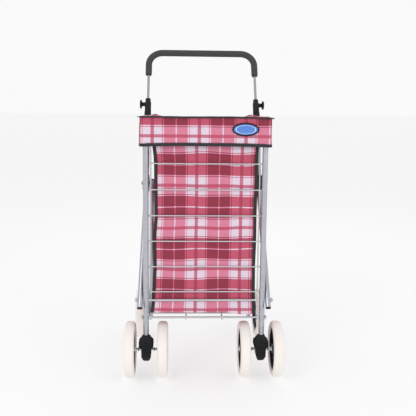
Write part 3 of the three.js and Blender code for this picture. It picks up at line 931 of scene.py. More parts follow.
class TROLLEY_OT_tubes(PieceOperator):
    """Front tubes and rail, handle tubes, legs, rest bar and the chrome rods"""

    bl_idname = "trolley.tubes"
    bl_label = "Tubes"

    def build(self, context):
        sides = settings("metal").tube_sides
        paint = silver_paint()
        radius = TUBE_RADIUS
        low, high = node_box("front_top_rail")
        for side in SIDES:
            foot, top = ends_of(f"front_tube_{side}", (0, 0, 1))
            piece = sweep(f"front_tube_{side}_finished", [foot, top], radius, sides)
            finish(piece, "front_frame", "silver_tube", paint, f"front_tube_{side}")
        x, bend = high.x - radius, 30 * MM
        route = [(-x, FRAME_Y, low.z), (-x, FRAME_Y, high.z - radius), (x, FRAME_Y, high.z - radius),
            (x, FRAME_Y, low.z)]
        rail = sweep("front_top_rail_finished", rounded(route, bend, 14), radius, sides)
        finish(rail, "front_frame", "silver_tube", paint, "front_top_rail")

        for side in SIDES:
            foot, top = ends_of(f"handle_tube_{side}", UP_HANDLE)
            middle = (along_handle(foot) + along_handle(top)) / 2
            knee = on_handle(top.x, middle)
            route = rounded([foot, knee, top], 0.35, 10)
            tube = hollow_bar(f"handle_tube_{side}_finished", route, radius, TUBE_BORE, sides)
            finish(tube, "handle_frame", "silver_tube", paint, f"handle_tube_{side}")
            rod_low, rod_high = ends_of(f"handle_rod_{side}", UP_HANDLE)
            rod = sweep(f"handle_rod_{side}_finished", [rod_low, rod_high], ROD_RADIUS, sides)
            finish(rod, "handle", "chrome_rod", polished_chrome(), f"handle_rod_{side}")
            down = joint_point("rear_left_spin") - joint_point("rear_legs_fold")
            low_end, high_end = ends_of(f"leg_tube_{side}", (0, -down.y, -down.z))
            leg = hollow_bar(f"leg_tube_{side}_finished", [low_end, high_end], LEG_RADIUS, LEG_BORE, sides)
            finish(leg, "rear_legs", "silver_tube", paint, f"leg_tube_{side}")
        left, right = ends_of("shelf_rest_bar", (1, 0, 0))
        bar = sweep("shelf_rest_bar_finished", [left, right], REST_BAR_RADIUS, 24)
        finish(bar, "rear_legs", "silver_tube", paint, "shelf_rest_bar")


class TROLLEY_OT_wires(PieceOperator):
    """Wire grid in front of the bag and the wire shelf under it"""

    bl_idname = "trolley.wires"
    bl_label = "Wires"

    def build(self, context):
        plated = bright_wire()
        low, high = node_box("front_grid")
        radius = 2 * MM
        reach, swell = high.x, 5 * MM
        upright_x, upright_y = 154 * MM, FRAME_Y + 3.2 * MM
        pitch, top_row, rows = 74.2 * MM, 636 * MM, 6
        row_line = [
            (x, FRAME_Y, 0)
            for x in (-reach, -reach + swell, -upright_x, -0.05, 0.05, upright_x, reach - swell, reach)
        ]
        row = wires("grid_row", [row_line], radius, plated)
        levels = [top_row - i * pitch for i in range(rows)]
        grid_rows = repeated(
            "grid_rows", row, [((0, 0, z), (0, 0, 0), (1, 1, 1)) for z in levels], plated
        )
        uprights = wires(
            "grid_uprights",
            [[(sign * upright_x, upright_y, low.z + MM),
                (sign * upright_x, upright_y, high.z)] for sign in (-1, 1)],
            radius, plated,
        )
        weld = sweep("weld", [(-1.6 * MM, 0, 0), (0, 0, 0), (1.6 * MM, 0, 0)],
            [2.2 * MM, 3.1 * MM, 2.2 * MM], 12)
        welds = repeated(
            "grid_welds", weld,
            [((sign * (reach - 1.4 * MM), FRAME_Y, z), (0, 0, 0), (1, 1, 1)) for sign in (-1,
                1) for z in levels],
            plated,
        )
        grid = joined("front_grid_finished", [grid_rows, uprights, welds])
        finish(grid, "front_frame", "wire", plated, "front_grid")

        low, high = node_box("shelf")
        back = high.y
        eye_radius = 5.3 * MM
        ring = [
            (0, FRAME_Y + eye_radius * math.cos(a), SHELF_Z + eye_radius * math.sin(a))
            for a in [math.radians(d) for d in range(0, 331, 15)]
        ]
        runner = wires("shelf_runner", [[(0, back, SHELF_Z), *ring]], radius, plated)
        runners = repeated(
            "shelf_runners", runner,
            [((x * MM, 0, 0), (0, 0, 0), (1, 1, 1)) for x in (-155, -52, 52, 155)], plated,
        )
        cross_z = SHELF_Z + 1.6 * radius
        cross = wires("shelf_cross", [[(low.x, 0, 0), (0, 0, 0), (high.x, 0, 0)]], radius, plated)
        count, first = 6, 45 * MM
        step = (back - FRAME_Y - first) / (count - 1)
        crosses = repeated(
            "shelf_crosses", cross,
            [((0, back - radius - i * step, cross_z), (0, 0, 0), (1, 1, 1)) for i in range(count)], plated,
        )
        shelf = joined("shelf_finished", [runners, crosses])
        finish(shelf, "shelf", "wire", plated, "shelf")


def hex_nut(name, across, thick, dome):
    """A domed nut about the X axis, its seat at the origin."""
    nut = sweep(name, [(0, 0, 0), (thick, 0, 0)], across / 1.732, 6, cap=0.5 * MM)
    cap = revolve(
        "dome",
        [(0.0, thick - MM), (across * 0.44, thick - MM), (across * 0.44, thick),
            (across * 0.36, thick + dome * 0.55),
         (across * 0.2, thick + dome * 0.9), (0.0, thick + dome)],
        (0, 0, 0), 24,
    )
    return joined(name, [nut, cap])


class TROLLEY_OT_fixings(PieceOperator):
    """Through rods, domed nuts, leg pins, stems and the axles"""

    bl_idname = "trolley.fixings"
    bl_label = "Rods, nuts and axles"

    def build(self, context):
        zinc = zinc_plate()
        places, nodes = [], []
        for rod in ("pivot", "shelf"):
            left, right = ends_of(f"{rod}_rod", (1, 0, 0))
            low, high = node_box(f"{rod}_rod")
            finish(
                sweep(f"{rod}_rod_finished", [left, right], (high.z - low.z) / 2, 24),
                "front_frame", "zinc_steel", zinc, f"{rod}_rod",
            )
            for side, sign in SIDES.items():
                node = f"{rod}_nut_{side}"
                low, high = node_box(node)
                seat = low.x if sign > 0 else high.x
                size = (high.z - low.z) / (13 * MM)
                places.append(((seat, FRAME_Y, (low.z + high.z) / 2),
                    (0, 0, 0 if sign > 0 else math.pi), (1, size, size)))
                nodes.append(node)
        nut = hex_nut("nut", 11.2 * MM, 4 * MM, 3 * MM)
        finish(repeated("cap_nuts", nut, places, zinc), "front_frame", "zinc_steel", zinc, *nodes)

        for side, sign in SIDES.items():
            pin = refined(f"leg_pin_{side}", width=0.6 * MM)
            finish(pin, "handle_frame", "zinc_steel", zinc, f"leg_pin_{side}")
            low, high = ends_of(f"caster_stem_{side}", (0, 0, 1))
            stem = sweep(f"caster_stem_{side}_finished", [low, high], 4 * MM, 24)
            finish(stem, f"caster_{side}", "zinc_steel", zinc, f"caster_stem_{side}")
            self.caster_axle(side, zinc)
        self.rear_axle(zinc)

    def caster_axle(self, side, zinc):
        node = f"caster_axle_{side}"
        low, high = node_box(node)
        middle = (low + high) / 2
        end = (high.x - low.x) / 2
        half = [
            (4.0, 21.4), (6.2, 21.6), (6.2, 22.6), (3.7, 25.8), (3.7, 27.4), (6.2, 33.4), (6.2, 36.6),
                (4.0, 36.7),
            (4.0, 59.3), (7.0, 59.4), (7.4, 60.0), (7.2, 61.6), (5.0, 62.9), (2.0, 63.6), (0.0, end / MM),
        ]
        profile = [(r * MM, -x * MM) for r, x in reversed(half)] + [(r * MM, x * MM) for r, x in half]
        axle = revolve(f"{node}_finished", profile, middle, 32)
        finish(axle, f"caster_{side}", "zinc_steel", zinc, node)

    def rear_axle(self, zinc):
        low, high = node_box("rear_axle")
        middle, end = (low + high) / 2, (high.x - low.x) / 2
        half = [(4.0, 175.6), (6.5, 175.7), (6.5, 178), (5.4, 179.6), (5.4, 188.6), (6.5, 190.4),
            (6.5, 191.6), (4.0, 191.7)]
        half = [(r * MM, x * MM) for r, x in half] + [(4.0 * MM, end - 0.5 * MM), (3.4 * MM, end),
            (0.0, end)]
        profile = [(r, -x) for r, x in reversed(half)] + half
        axle = revolve("rear_axle_finished", profile, middle, 32)
        finish(axle, "rear_legs", "zinc_steel", zinc, "rear_axle")


class TROLLEY_OT_wheels(PieceOperator):
    """Six wheels with foam-rubber tyres and spoked hubs"""

    bl_idname = "trolley.wheels"
    bl_label = "Wheels"

    def build(self, context):
        for wheel in WHEELS:
            low, high = node_box(f"{wheel}_tyre")
            centre, radius = (low + high) / 2, (high.z - low.z) / 2
            self.tyre(wheel, centre, radius, (high.x - low.x) / 2)
            self.hub(wheel, centre)

    def tyre(self, wheel, centre, radius, half):
        rim = 64 * MM
        crown = []
        for step in range(25):
            turn = math.pi * (step / 24 - 0.5)
            bulge = abs(math.cos(turn)) ** 0.62
            across = math.copysign(abs(math.sin(turn)) ** 0.72, turn) * half
            crown.append((rim + 5.5 * MM + (radius - rim - 5.5 * MM) * bulge, across))
        foot = [(rim, half - 4.4 * MM), (rim, -half + 4.4 * MM)]
        shoulder = [(rim + 2 * MM, half - 2.6 * MM), (rim + 0.4 * MM, half - 3.9 * MM)]
        rest = [(r, -x) for r, x in reversed(shoulder)]
        profile = [*crown, *shoulder, *foot, *rest, crown[0]]
        piece = revolve(f"{wheel}_tyre_finished", profile, centre, 96)
        finish(piece, f"{wheel}_wheel", "cream_tyre", cream_tyre(), f"{wheel}_tyre")

    def hub(self, wheel, centre):
        """Rim, boss and a thin web, with ribbed spokes on both sides."""
        rim = 63.4
        ring = [
            (rim, -10), (rim, 10), (rim - 1, 10.8), (rim - 4.6, 10.6), (rim - 5.6, 9.4), (rim - 6.2, 3.4),
            (rim - 10, 2.0), (40, 1.5), (24, 1.6), (18.5, 3.0), (15, 6), (14, 10.2), (13.2, 11), (6.4, 11),
            (5.6, 10.4), (4.4, 10.0), (4.4, -10.0), (5.6, -10.4), (6.4, -11), (13.2, -11), (14, -10.2),
                (15, -6),
            (18.5, -3.0), (24, -1.6), (40, -1.5), (rim - 10, -2.0), (rim - 6.2, -3.4), (rim - 5.6, -9.4),
            (rim - 4.6, -10.6), (rim - 1, -10.8), (rim, -10),
        ]
        body = revolve("hub_body", [(r * MM, x * MM) for r, x in ring], centre, 72)
        count = settings("wheels").spokes
        middle = (rim + 15) / 2
        for index in range(count):
            turn = 2 * math.pi * (index + 0.5) / count
            window = sweep(
                "window",
                [(centre.x - 0.012, centre.y + middle * MM * math.cos(turn),
                    centre.z + middle * MM * math.sin(turn)),
                 (centre.x + 0.012, centre.y + middle * MM * math.cos(turn),
                     centre.z + middle * MM * math.sin(turn))],
                13.2 * MM, 28, cap=0,
            )
            modifier = body.modifiers.new("Window", "BOOLEAN")
            modifier.object = window
            modifier.solver = "EXACT"
        baked(body)
        for window in [o for o in bpy.data.objects if o.name.startswith("window")]:
            bpy.data.objects.remove(window)
        rib = sweep("rib", [(0, 13 * MM, 0), (0, (rim - 5) * MM, 0)], [4.4 * MM, 3.2 * MM], 4, flat=1.8,
            across=Vector((1, 0, 0)))
        ribs = repeated(
            "hub_ribs", rib,
            [(tuple(centre), (2 * math.pi * i / count, 0, 0), (1, 1, 1)) for i in range(count)],
                hub_black(),
        )
        piece = joined(f"{wheel}_hub_finished", [body, ribs])
        finish(piece, f"{wheel}_wheel", "black_hub", hub_black(), f"{wheel}_hub")


class TROLLEY_OT_mouldings(PieceOperator):
    """Black plastic: caster housings, bushes, brackets, clamps, knobs, plugs and caps"""

    bl_idname = "trolley.mouldings"
    bl_label = "Plastic parts"

    def build(self, context):
        black = moulded_black()
        for side, sign in SIDES.items():
            for node, body, width in (
                (f"caster_yoke_{side}", f"caster_{side}", 0.9 * MM),
                (f"caster_bush_{side}", "front_frame", 0.5 * MM),
                (f"end_plug_{side}", "handle_frame", 1.0 * MM),
                (f"leg_bracket_{side}", "handle_frame", 1.6 * MM),
                (f"clamp_{side}", "handle_frame", 0.7 * MM),
                (f"axle_cap_{side}", "rear_legs", 0.6 * MM),
            ):
                piece = baked(refined(node, width=width))
                if node.startswith("caster_yoke"):
                    piece = self.ribbed_yoke(piece, side)
                if node.startswith("clamp_"):
                    piece = self.ringed_clamp(piece, node)
                finish(piece, body, "black_plastic", black, node)
            self.knob(side, sign, black)

    def ribbed_yoke(self, piece, side):
        """The housing with its moulded ribs and the pressed cap over the stem."""
        low, high = node_box(f"caster_yoke_{side}")
        x = (low.x + high.x) / 2
        ribs = []
        for z, half in ((117, 17.5), (109, 18.5), (90, 11.5), (80, 11.5)):
            y = FRAME_Y - 12.6 * MM if z > 95 else FRAME_Y - (12.2 - (95 - z) * 0.20) * MM
            ribs.append(
                sweep("rib", [(x - half * MM, y, z * MM), (x + half * MM, y, z * MM)], 1.7 * MM, 12,
                    cap=0.8 * MM)
            )
        ribs.append(
            sweep("rib", [(x, FRAME_Y - 13 * MM, 122 * MM), (x, FRAME_Y - 11.6 * MM, 97 * MM),
                (x, FRAME_Y - 7.5 * MM, 76 * MM)],
                  2.2 * MM, 12, cap=0.8 * MM)
        )
        return joined(f"caster_yoke_{side}_finished", [piece, *ribs])

    def ringed_clamp(self, piece, node):
        low = ends_of(node, UP_HANDLE)[0]
        rings = []
        for along in (3, 7, 11, 15):
            at = low + UP_HANDLE * along * MM
            rings.append(sweep("ring", [at, at + UP_HANDLE * 1.6 * MM], 10.9 * MM, 32, cap=0.5 * MM))
        bore = low - UP_HANDLE * 5 * MM
        return joined(f"{node}_finished", [piece, *self.hollowed(rings, bore)])

    def hollowed(self, rings, start):
        cutter = sweep("bore", [start, start + UP_HANDLE * 0.04], 8.35 * MM, 32, cap=0)
        for ring in rings:
            modifier = ring.modifiers.new("Bore", "BOOLEAN")
            modifier.object = cutter
            modifier.solver = "EXACT"
            baked(ring)
        bpy.data.objects.remove(cutter)
        return rings

    def knob(self, side, sign, black):
        """A thumb knob with five lobes, waisted towards its screw."""
        name = f"clamp_knob_{side}"
        centre = joint_point(f"clamp_screw_{side}")
        low, high = node_box(name)
        inner = min(abs(low.x), abs(high.x)) - abs(centre.x)
        outer = max(abs(low.x), abs(high.x)) - abs(centre.x)
        face = 15.3 * MM
        profile = [
            (0.0, inner), (3.0 * MM, inner), (3.0 * MM, face), (7.0 * MM, face), (6.8 * MM, face + MM),
            (5.6 * MM, face + 2.2 * MM), (7.5 * MM, face + 3.4 * MM), (11.6 * MM, face + 4.4 * MM),
            (13.0 * MM, face + 5.6 * MM), (13.2 * MM, outer - 2.4 * MM), (12.4 * MM, outer - MM),
                (10.6 * MM, outer - 0.3 * MM),
            (7.5 * MM, outer - 0.1 * MM), (6.6 * MM, outer - 1.4 * MM), (0.0, outer - 1.4 * MM),
        ]
        segments = 80
        vertices, faces = [], []
        for radius, along in profile:
            for k in range(segments):
                turn = 2 * math.pi * k / segments
                lobe = 1 + 0.115 * math.cos(5 * turn) if radius > 10 * MM else 1
                vertices.append(centre + Vector((sign * along, radius * lobe * math.cos(turn),
                    radius * lobe * math.sin(turn))))
        for i in range(len(profile) - 1):
            for k in range(segments):
                a, b = i * segments + k, i * segments + (k + 1) % segments
                faces.append((a, b, b + segments, a + segments))
        piece = make_object(f"{name}_finished", vertices, faces)
        face_outwards(piece)
        finish(smooth(piece, 38), name, "black_plastic", black, name)


class TROLLEY_OT_grip(PieceOperator):
    """Foam grip bent over the top of the telescoping rods"""

    bl_idname = "trolley.grip"
    bl_label = "Grip"

    def build(self, context):
        rod_x = centre_of("handle_rod_right").x
        foot, top, bend = 758 * MM, 845 * MM, 46 * MM
        corners = [on_handle(-rod_x, foot), on_handle(-rod_x, top), on_handle(rod_x, top),
            on_handle(rod_x, foot)]
        route = rounded(corners, bend, 16)
        evened = [route[0], route[0].lerp(route[1], 0.06), route[0].lerp(route[1], 0.2), *route[1:-1]]
        evened += [route[-1].lerp(route[-2], 0.2), route[-1].lerp(route[-2], 0.06), route[-1]]
        radii = [8.6 * MM, 10.1 * MM] + [10.5 * MM] * (len(evened) - 4) + [10.1 * MM, 8.6 * MM]
        grip = sweep("grip_finished", evened, radii, 40)
        finish(grip, "handle", "grip_foam", grip_foam(), "grip")


# ---------------------------------------------------------------- cloth
# How far the bag's front corners stand from the middle, as (height, distance) from the hem down.
BAG_EDGES = {
    "left": ((0.740, 0.149), (0.690, 0.147), (0.635, 0.1425), (0.489, 0.142), (0.414, 0.1465),
        (0.337, 0.145),
             (0.290, 0.147), (0.240, 0.150), (0.190, 0.154)),
    "right": ((0.740, 0.150), (0.690, 0.148), (0.635, 0.147), (0.489, 0.1455), (0.414, 0.146),
        (0.337, 0.1445),
              (0.290, 0.145), (0.240, 0.146), (0.190, 0.1475)),
}
GRID_ROWS = [0.636 - 0.0742 * i for i in range(6)] + [0.240]


def smoothstep(low, high, value):
    t = min(max((value - low) / (high - low), 0.0), 1.0)
    return t * t * (3 - 2 * t)


def eased(points, at):
    """The value of a falling list of (at, value) pairs, eased between neighbours."""
    if at >= points[0][0]:
        return points[0][1]
    for (high, first), (low, second) in zip(points, points[1:]):
        if at >= low:
            return second + (first - second) * smoothstep(low, high, at)
    return points[-1][1]


def ripple(x, y, z, scale, seed=0.0):
    return noise.noise(Vector((x, y, z)) * scale + Vector((seed, seed * 1.7, -seed)))


def cloth_surface(name, rows, closed=False):
    """A quad mesh from rows of (point, (u, v)), UVs in metres. closed joins the ends of each row."""
    columns = len(rows[0])
    vertices = [point for row in rows for point, _ in row]
    around = columns if closed else columns - 1
    faces, corners = [], []
    for i in range(len(rows) - 1):
        for k in range(around):
            n = (k + 1) % columns
            faces.append((i * columns + k, i * columns + n, (i + 1) * columns + n, (i + 1) * columns + k))
            last = rows[i][k][1][0] + 0.004 if n == 0 else None
            for row, column in ((i, k), (i, n), (i + 1, n), (i + 1, k)):
                u, v = rows[row][column][1]
                corners.append((last if last is not None and column == n else u, v))
    piece = make_object(name, vertices, faces)
    layer = piece.data.uv_layers.new(name="UVMap")
    layer.data.foreach_set("uv", [part for corner in corners for part in corner])
    return piece


def outwards_from(piece, inside):
    """Turns the faces of an open surface away from a point inside it."""
    work = bmesh.new()
    work.from_mesh(piece.data)
    bmesh.ops.remove_doubles(work, verts=work.verts, dist=1e-6)
    bmesh.ops.recalc_face_normals(work, faces=work.faces)
    work.faces.ensure_lookup_table()
    votes = sum(1 if f.normal.dot(f.calc_center_median() - inside) > 0 else -1 for f in work.faces)
    if votes < 0:
        bmesh.ops.reverse_faces(work, faces=work.faces)
    work.to_mesh(piece.data)
    work.free()
    return piece


def thickened(piece, thickness):
    modifier = piece.modifiers.new("Thickness", "SOLIDIFY")
    modifier.thickness = thickness
    modifier.offset = -1
    modifier.use_even_offset = False
    return smooth(baked(piece), 60)


def folds_with_frame(piece, slot, material, *nodes):
    """Cloth of the bag: it hangs from the front frame, on a mesh of its own."""
    finish(piece, "front_frame", slot, material, *nodes)
    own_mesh(piece)
    return piece


def stitch(length, radius=0.0004):
    half = length / 2
    points = [(-half, 0, 0), (-half * 0.6, 0, radius), (0, 0, radius * 1.4), (half * 0.6, 0, radius),
        (half, 0, 0)]
    return sweep("stitch", points, radius, 6, cap=0)


def stitch_places(route, pitch):
    """Places for stitches along a route, each turned along it."""
    places, carried = [], 0.0
    for first, second in zip(route, route[1:]):
        first, second = Vector(first), Vector(second)
        step = second - first
        if step.length < 1e-7:
            continue
        turn = Vector((1, 0, 0)).rotation_difference(step.normalized()).to_euler()
        at = pitch - carried
        while at <= step.length:
            places.append((tuple(first + step * (at / step.length)), tuple(turn), (1, 1, 1)))
            at += pitch
        carried = (carried + step.length) % pitch
    return places


def bag_outline():
    """The bag's plan, clockwise from the middle of its back: (x, y, distance from the front's middle)."""
    low, high = node_box("bag")
    front, back, half = low.y, high.y, high.x
    corner_front, corner_back = 9 * MM, 20 * MM
    plan = []

    def straight(x0, y0, x1, y1, steps):
        for i in range(steps):
            plan.append((x0 + (x1 - x0) * i / steps, y0 + (y1 - y0) * i / steps))

    def corner(cx, cy, radius, start, steps):
        for i in range(steps):
            turn = math.radians(start + 90 * i / steps)
            plan.append((cx + radius * math.cos(turn), cy + radius * math.sin(turn)))

    f, b = corner_front, corner_back
    straight(-half + f, front, half - f, front, 84)
    corner(half - f, front + f, f, -90, 5)
    straight(half, front + f, half, back - b, 38)
    corner(half - b, back - b, b, 0, 6)
    straight(half - b, back, -half + b, back, 46)
    corner(-half + b, back - b, b, 90, 6)
    straight(-half, back - b, -half, front + f, 38)
    corner(-half + f, front + f, f, 180, 5)
    along, total = [], -half + f
    for i, (x, y) in enumerate(plan):
        if i:
            total += math.hypot(x - plan[i - 1][0], y - plan[i - 1][1])
        along.append(total)
    return [(x, y, u) for (x, y), u in zip(plan, along)]


def bag_point(x, y, z):
    """Where a point of the bag's plan hangs at a height, with its bulges, folds and wavy corners."""
    low, high = node_box("bag")
    half, front, back = high.x, low.y, high.y
    depth = (y - front) / (back - front)
    side = "right" if x > 0 else "left"
    sign = 1 if x > 0 else -1
    across = abs(x) / half
    forward = 1 - smoothstep(0.0, 0.55, depth)
    rearward = smoothstep(0.45, 1.0, depth)
    flare = (0.009 * smoothstep(0.570, 0.640, z) + 0.013 * smoothstep(0.640, 0.705,
        z)) * smoothstep(0.15, 0.75, depth)
    edge = eased(BAG_EDGES[side], z) - half
    slack = -0.0035 * math.sin(math.pi * min(max(depth, 0), 1)) * (0.6 + 0.4 * math.sin(z * 23 + sign))
    waist = -0.004 * smoothstep(0.30, 0.45, z) * (1 - smoothstep(0.60, 0.70, z)) * rearward
    folds = 0.0022 * ripple(x * 0.3, y, z, 17.0, 3.1 * sign) + 0.0012 * ripple(0, y, z, 46.0, 5.0)
    widen = (edge * forward + (flare + waist + slack + min(folds, 0.001) * (1 - forward)))
    new_x = x * (1 + widen / half) if across < 0.999 else sign * (half + widen)

    between = 1 - max(math.exp(-((z - row) / 0.014) ** 2) for row in GRID_ROWS)
    swell = settings("cloth").bulge * between * (1 - across ** 6)
    creases = 0.0010 * ripple(x, 0, z * 2.4, 24.0, 1.3) + 0.0005 * ripple(x, 0, z * 1.6, 70.0, 8.0)
    creases += 0.0012 * math.exp(-((z - 0.215) / 0.02) ** 2) * math.sin(x * 60 + 0.6)
    front_push = (swell + max(creases, -0.0008)) * forward
    back_push = (0.006 * math.sin(math.pi * min(max((z - 0.196) / 0.535, 0), 1)) ** 0.6 * (1 - across ** 4)
                 + 0.0028 * ripple(x, 1.0, z, 15.0, 6.0)) * rearward
    new_y = y - front_push + back_push
    wave = 0.0022 * ripple(x, depth, z, 11.0, 9.0) + 0.0012 * math.sin(x * 38 + z * 21)
    new_z = z + wave * smoothstep(0.20, 0.24, z) * (1 - smoothstep(0.70, 0.731, z))
    return Vector((new_x, new_y, new_z))


def bag_hem(x, y):
    """Height of the bag's lower edge, which dips towards the right corner."""
    low, high = node_box("bag")
    forward = 1 - smoothstep(0.0, 0.3, (y - low.y) / (high.y - low.y))
    lift = 0.0055 - 0.0075 * smoothstep(0.045, 0.13, x) - 0.002 * smoothstep(0.09, 0.14, -x)
    return low.z + 0.0015 + forward * lift + 0.0012 * math.sin(x * 47)


def bag_top(y):
    """Height of the bag's mouth, which rises at the back to meet the lid."""
    low, high = node_box("bag")
    return high.z + 0.015 * smoothstep(0.62, 0.97, (y - low.y) / (high.y - low.y))


class TROLLEY_OT_bag(PieceOperator):
    """Cloth bag with its piping, hem, straps and stitches"""

    bl_idname = "trolley.bag"
    bl_label = "Bag"

    def build(self, context):
        cloth = settings("cloth")
        low, high = node_box("bag")
        outline = bag_outline()
        levels = 128
        rows = []
        for i in range(levels + 1):
            share = i / levels
            row = []
            for x, y, u in outline:
                bottom, top = bag_hem(x, y), bag_top(y)
                z = bottom + (top - bottom) * share
                row.append((bag_point(x, y, z), (u, z)))
            rows.append(row)
        turned, middle = [], Vector((0, (low.y + high.y) / 2, low.z - 0.8 * MM))
        rings = 9
        for ring in range(rings):
            share = 1 - (ring + 1) / rings * 0.985
            tuck = 0.004 * (1 - math.exp(-3.0 * (ring + 1)))
            row = []
            for (point, (u, v)), (x, y, _) in zip(rows[0], outline):
                flat = middle + (Vector((point.x, point.y, middle.z)) - middle) * share
                sag = -0.0007 * math.cos((flat.y - 0.148) * 2 * math.pi / 0.061)
                flat.z = middle.z + 0.0006 + sag + (point.z - middle.z - 0.0006) * math.exp(-2.6 * (ring + 1))
                row.append((flat, (flat.x, flat.y + v - tuck)))
            turned.append(row)
        rows = list(reversed(turned)) + rows
        bag = cloth_surface("bag_cloth", rows, closed=True)
        work = bmesh.new()
        work.from_mesh(bag.data)
        work.verts.ensure_lookup_table()
        count = len(outline)
        work.faces.new([work.verts[i] for i in range(count)])
        work.to_mesh(bag.data)
        work.free()
        outwards_from(bag, Vector((0, -0.07, 0.45)))
        thickened(bag, cloth.thickness)
        plaid = plaid_material("Bag plaid", 5.9494, 0.4031)
        folds_with_frame(bag, "plaid_cloth", plaid, "bag")
        trims = self.trims(outline)
        self.straps()

    def trims(self, outline):
        low, high = node_box("bag")
        tape, thread = black_tape(), dark_thread()
        pieces, seams = [], []
        for side, sign in SIDES.items():
            path = []
            for i in range(61):
                z = bag_hem(sign * 0.14, low.y) + 0.001 + (high.z - 0.002 - low.z) * i / 60
                corner = bag_point(sign * (high.x - 3.2 * MM), low.y + 0.4 * MM, z)
                path.append(corner + Vector((sign * 0.6 * MM, -0.5 * MM, 0)))
            band = sweep(f"bag_piping_{side}", path, 1.5 * MM, 20, flat=3.1, across=Vector((1, 0, 0)))
            pieces.append(folds_with_frame(band, "black_binding", tape))
            seams.append([p + Vector((-sign * 3.1 * MM, -1.3 * MM, 0)) for p in path[1:-1]])
        hem = [bag_point(x, y, bag_top(y) - 0.004) for x, y, _ in outline]
        hem.append(hem[0])
        edge = sweep("bag_hem", hem, 1.4 * MM, 16, flat=3.4, across=Vector((0, 0, 1)), cap=0)
        pieces.append(folds_with_frame(edge, "black_binding", tape))
        for side, sign in SIDES.items():
            corner = []
            for i in range(41):
                z = low.z + 0.006 + (high.z + 0.008 - low.z) * i / 40
                corner.append(bag_point(sign * (high.x - 5.5 * MM), high.y - 5.5 * MM,
                    z) + Vector((sign, 1, 0)) * 0.2 * MM)
            welt = sweep(f"bag_welt_{side}", corner, 1.9 * MM, 12)
            pieces.append(folds_with_frame(welt, "black_binding", tape))
        places = [place for seam in seams for place in stitch_places(seam, 4.6 * MM)]
        sewn = repeated("bag_stitches", stitch(3.0 * MM), places, thread)
        pieces.append(folds_with_frame(sewn, "black_binding", thread))
        tail = [(0.1470, -0.1885, 0.204), (0.1472, -0.1880, 0.190), (0.1484, -0.1878, 0.176),
            (0.1502, -0.1880, 0.163),
                (0.1524, -0.1886, 0.153)]
        loose = sweep("bag_strap_end", tail, [1.0 * MM] * 4 + [0.6 * MM], 12, flat=4.4,
            across=Vector((1, 0, 0.1)))
        pieces.append(folds_with_frame(loose, "black_binding", tape))
        return pieces

    def straps(self):
        """Webbing loops that hold the bag's rear corners to the handle tubes."""
        tape = black_tape()
        high = node_box("bag")[1]
        for side, sign in SIDES.items():
            along = 556 * MM
            centre = on_handle(sign * 175 * MM, along)
            loop = []
            for step in range(21):
                turn = math.radians(200 - 13.5 * step)
                loop.append(centre + Vector((-sign * 9.4 * MM * math.cos(turn), 0,
                    0)) + BEHIND_HANDLE * 9.4 * MM * math.sin(turn))
            inner = Vector((sign * 153 * MM, high.y - 4 * MM, centre.z - 16 * MM))
            route = [inner, inner.lerp(loop[0], 0.5) + Vector((0, -1.5 * MM, 0)), *loop,
                inner + Vector((-sign * 6 * MM, 3.6 * MM, 2 * MM))]
            strap = sweep(f"bag_strap_{side}", route, 0.8 * MM, 12, flat=12.0, across=UP_HANDLE)
            finish(strap, "handle_frame", "black_binding", tape)


# ---------------------------------------------------------------- lid
def lid_half_width(y):
    """Half the lid's width: broad over the front tubes, narrower between the handle tubes."""
    return 0.1552 + 0.0055 * (1 - smoothstep(-0.115, 0.062, y)) + 0.0218 * (1 - smoothstep(-0.165,
        -0.118, y))


def flap_line():
    """The flap's plan: along the left side, across the front and along the right, as (x, y, distance)."""
    low, high = node_box("lid_panel")
    half, front, corner, back = high.x + 1.2 * MM, low.y + 1.4 * MM, 9 * MM, -0.158
    plan = [(-half, back + (front + corner - back) * i / 14) for i in range(14)]
    for i in range(7):
        turn = math.radians(180 + 90 * i / 7)
        plan.append((-half + corner + corner * math.cos(turn), front + corner + corner * math.sin(turn)))
    plan += [(-half + corner + (2 * half - 2 * corner) * i / 110, front) for i in range(110)]
    for i in range(7):
        turn = math.radians(270 + 90 * i / 7)
        plan.append((half - corner + corner * math.cos(turn), front + corner + corner * math.sin(turn)))
    plan += [(half, front + corner + (back - front - corner) * i / 14) for i in range(15)]
    middle = len(plan) // 2
    along = [0.0]
    for first, second in zip(plan, plan[1:]):
        along.append(along[-1] + math.hypot(second[0] - first[0], second[1] - first[1]))
    return [(x, y, u - along[middle] + plan[middle][0]) for (x, y), u in zip(plan, along)]


def flap_point(x, y, share):
    """A point of the flap: share is 0 at the lid and 1 at the lower edge."""
    low, high = node_box("lid_panel")
    top = high.z - 3.2 * MM - 1.8 * MM * (abs(x) / high.x) ** 6
    front = 1 - smoothstep(low.y + 0.010, low.y + 0.060, y)
    arch = 0.0034 * (1 - (x / high.x) ** 2) - 0.0010 * (1 - abs(x) / high.x)
    bottom = (low.z + arch) * front + (high.z - 0.020) * (1 - front)
    z = top + (bottom - top) * share
    swing = 0.0015 * math.sin(x * 31 + 0.8) + 0.0012 * ripple(x, 0, z, 21.0, 4.0)
    calm = 1 - math.exp(-((x - 0.110) / 0.045) ** 2)
    out = (swing * calm + 0.0005) * share ** 1.3
    outward = Vector((x / high.x * (1 - front * 0.7), -front, 0))
    return Vector((x, y, z)) + outward * out


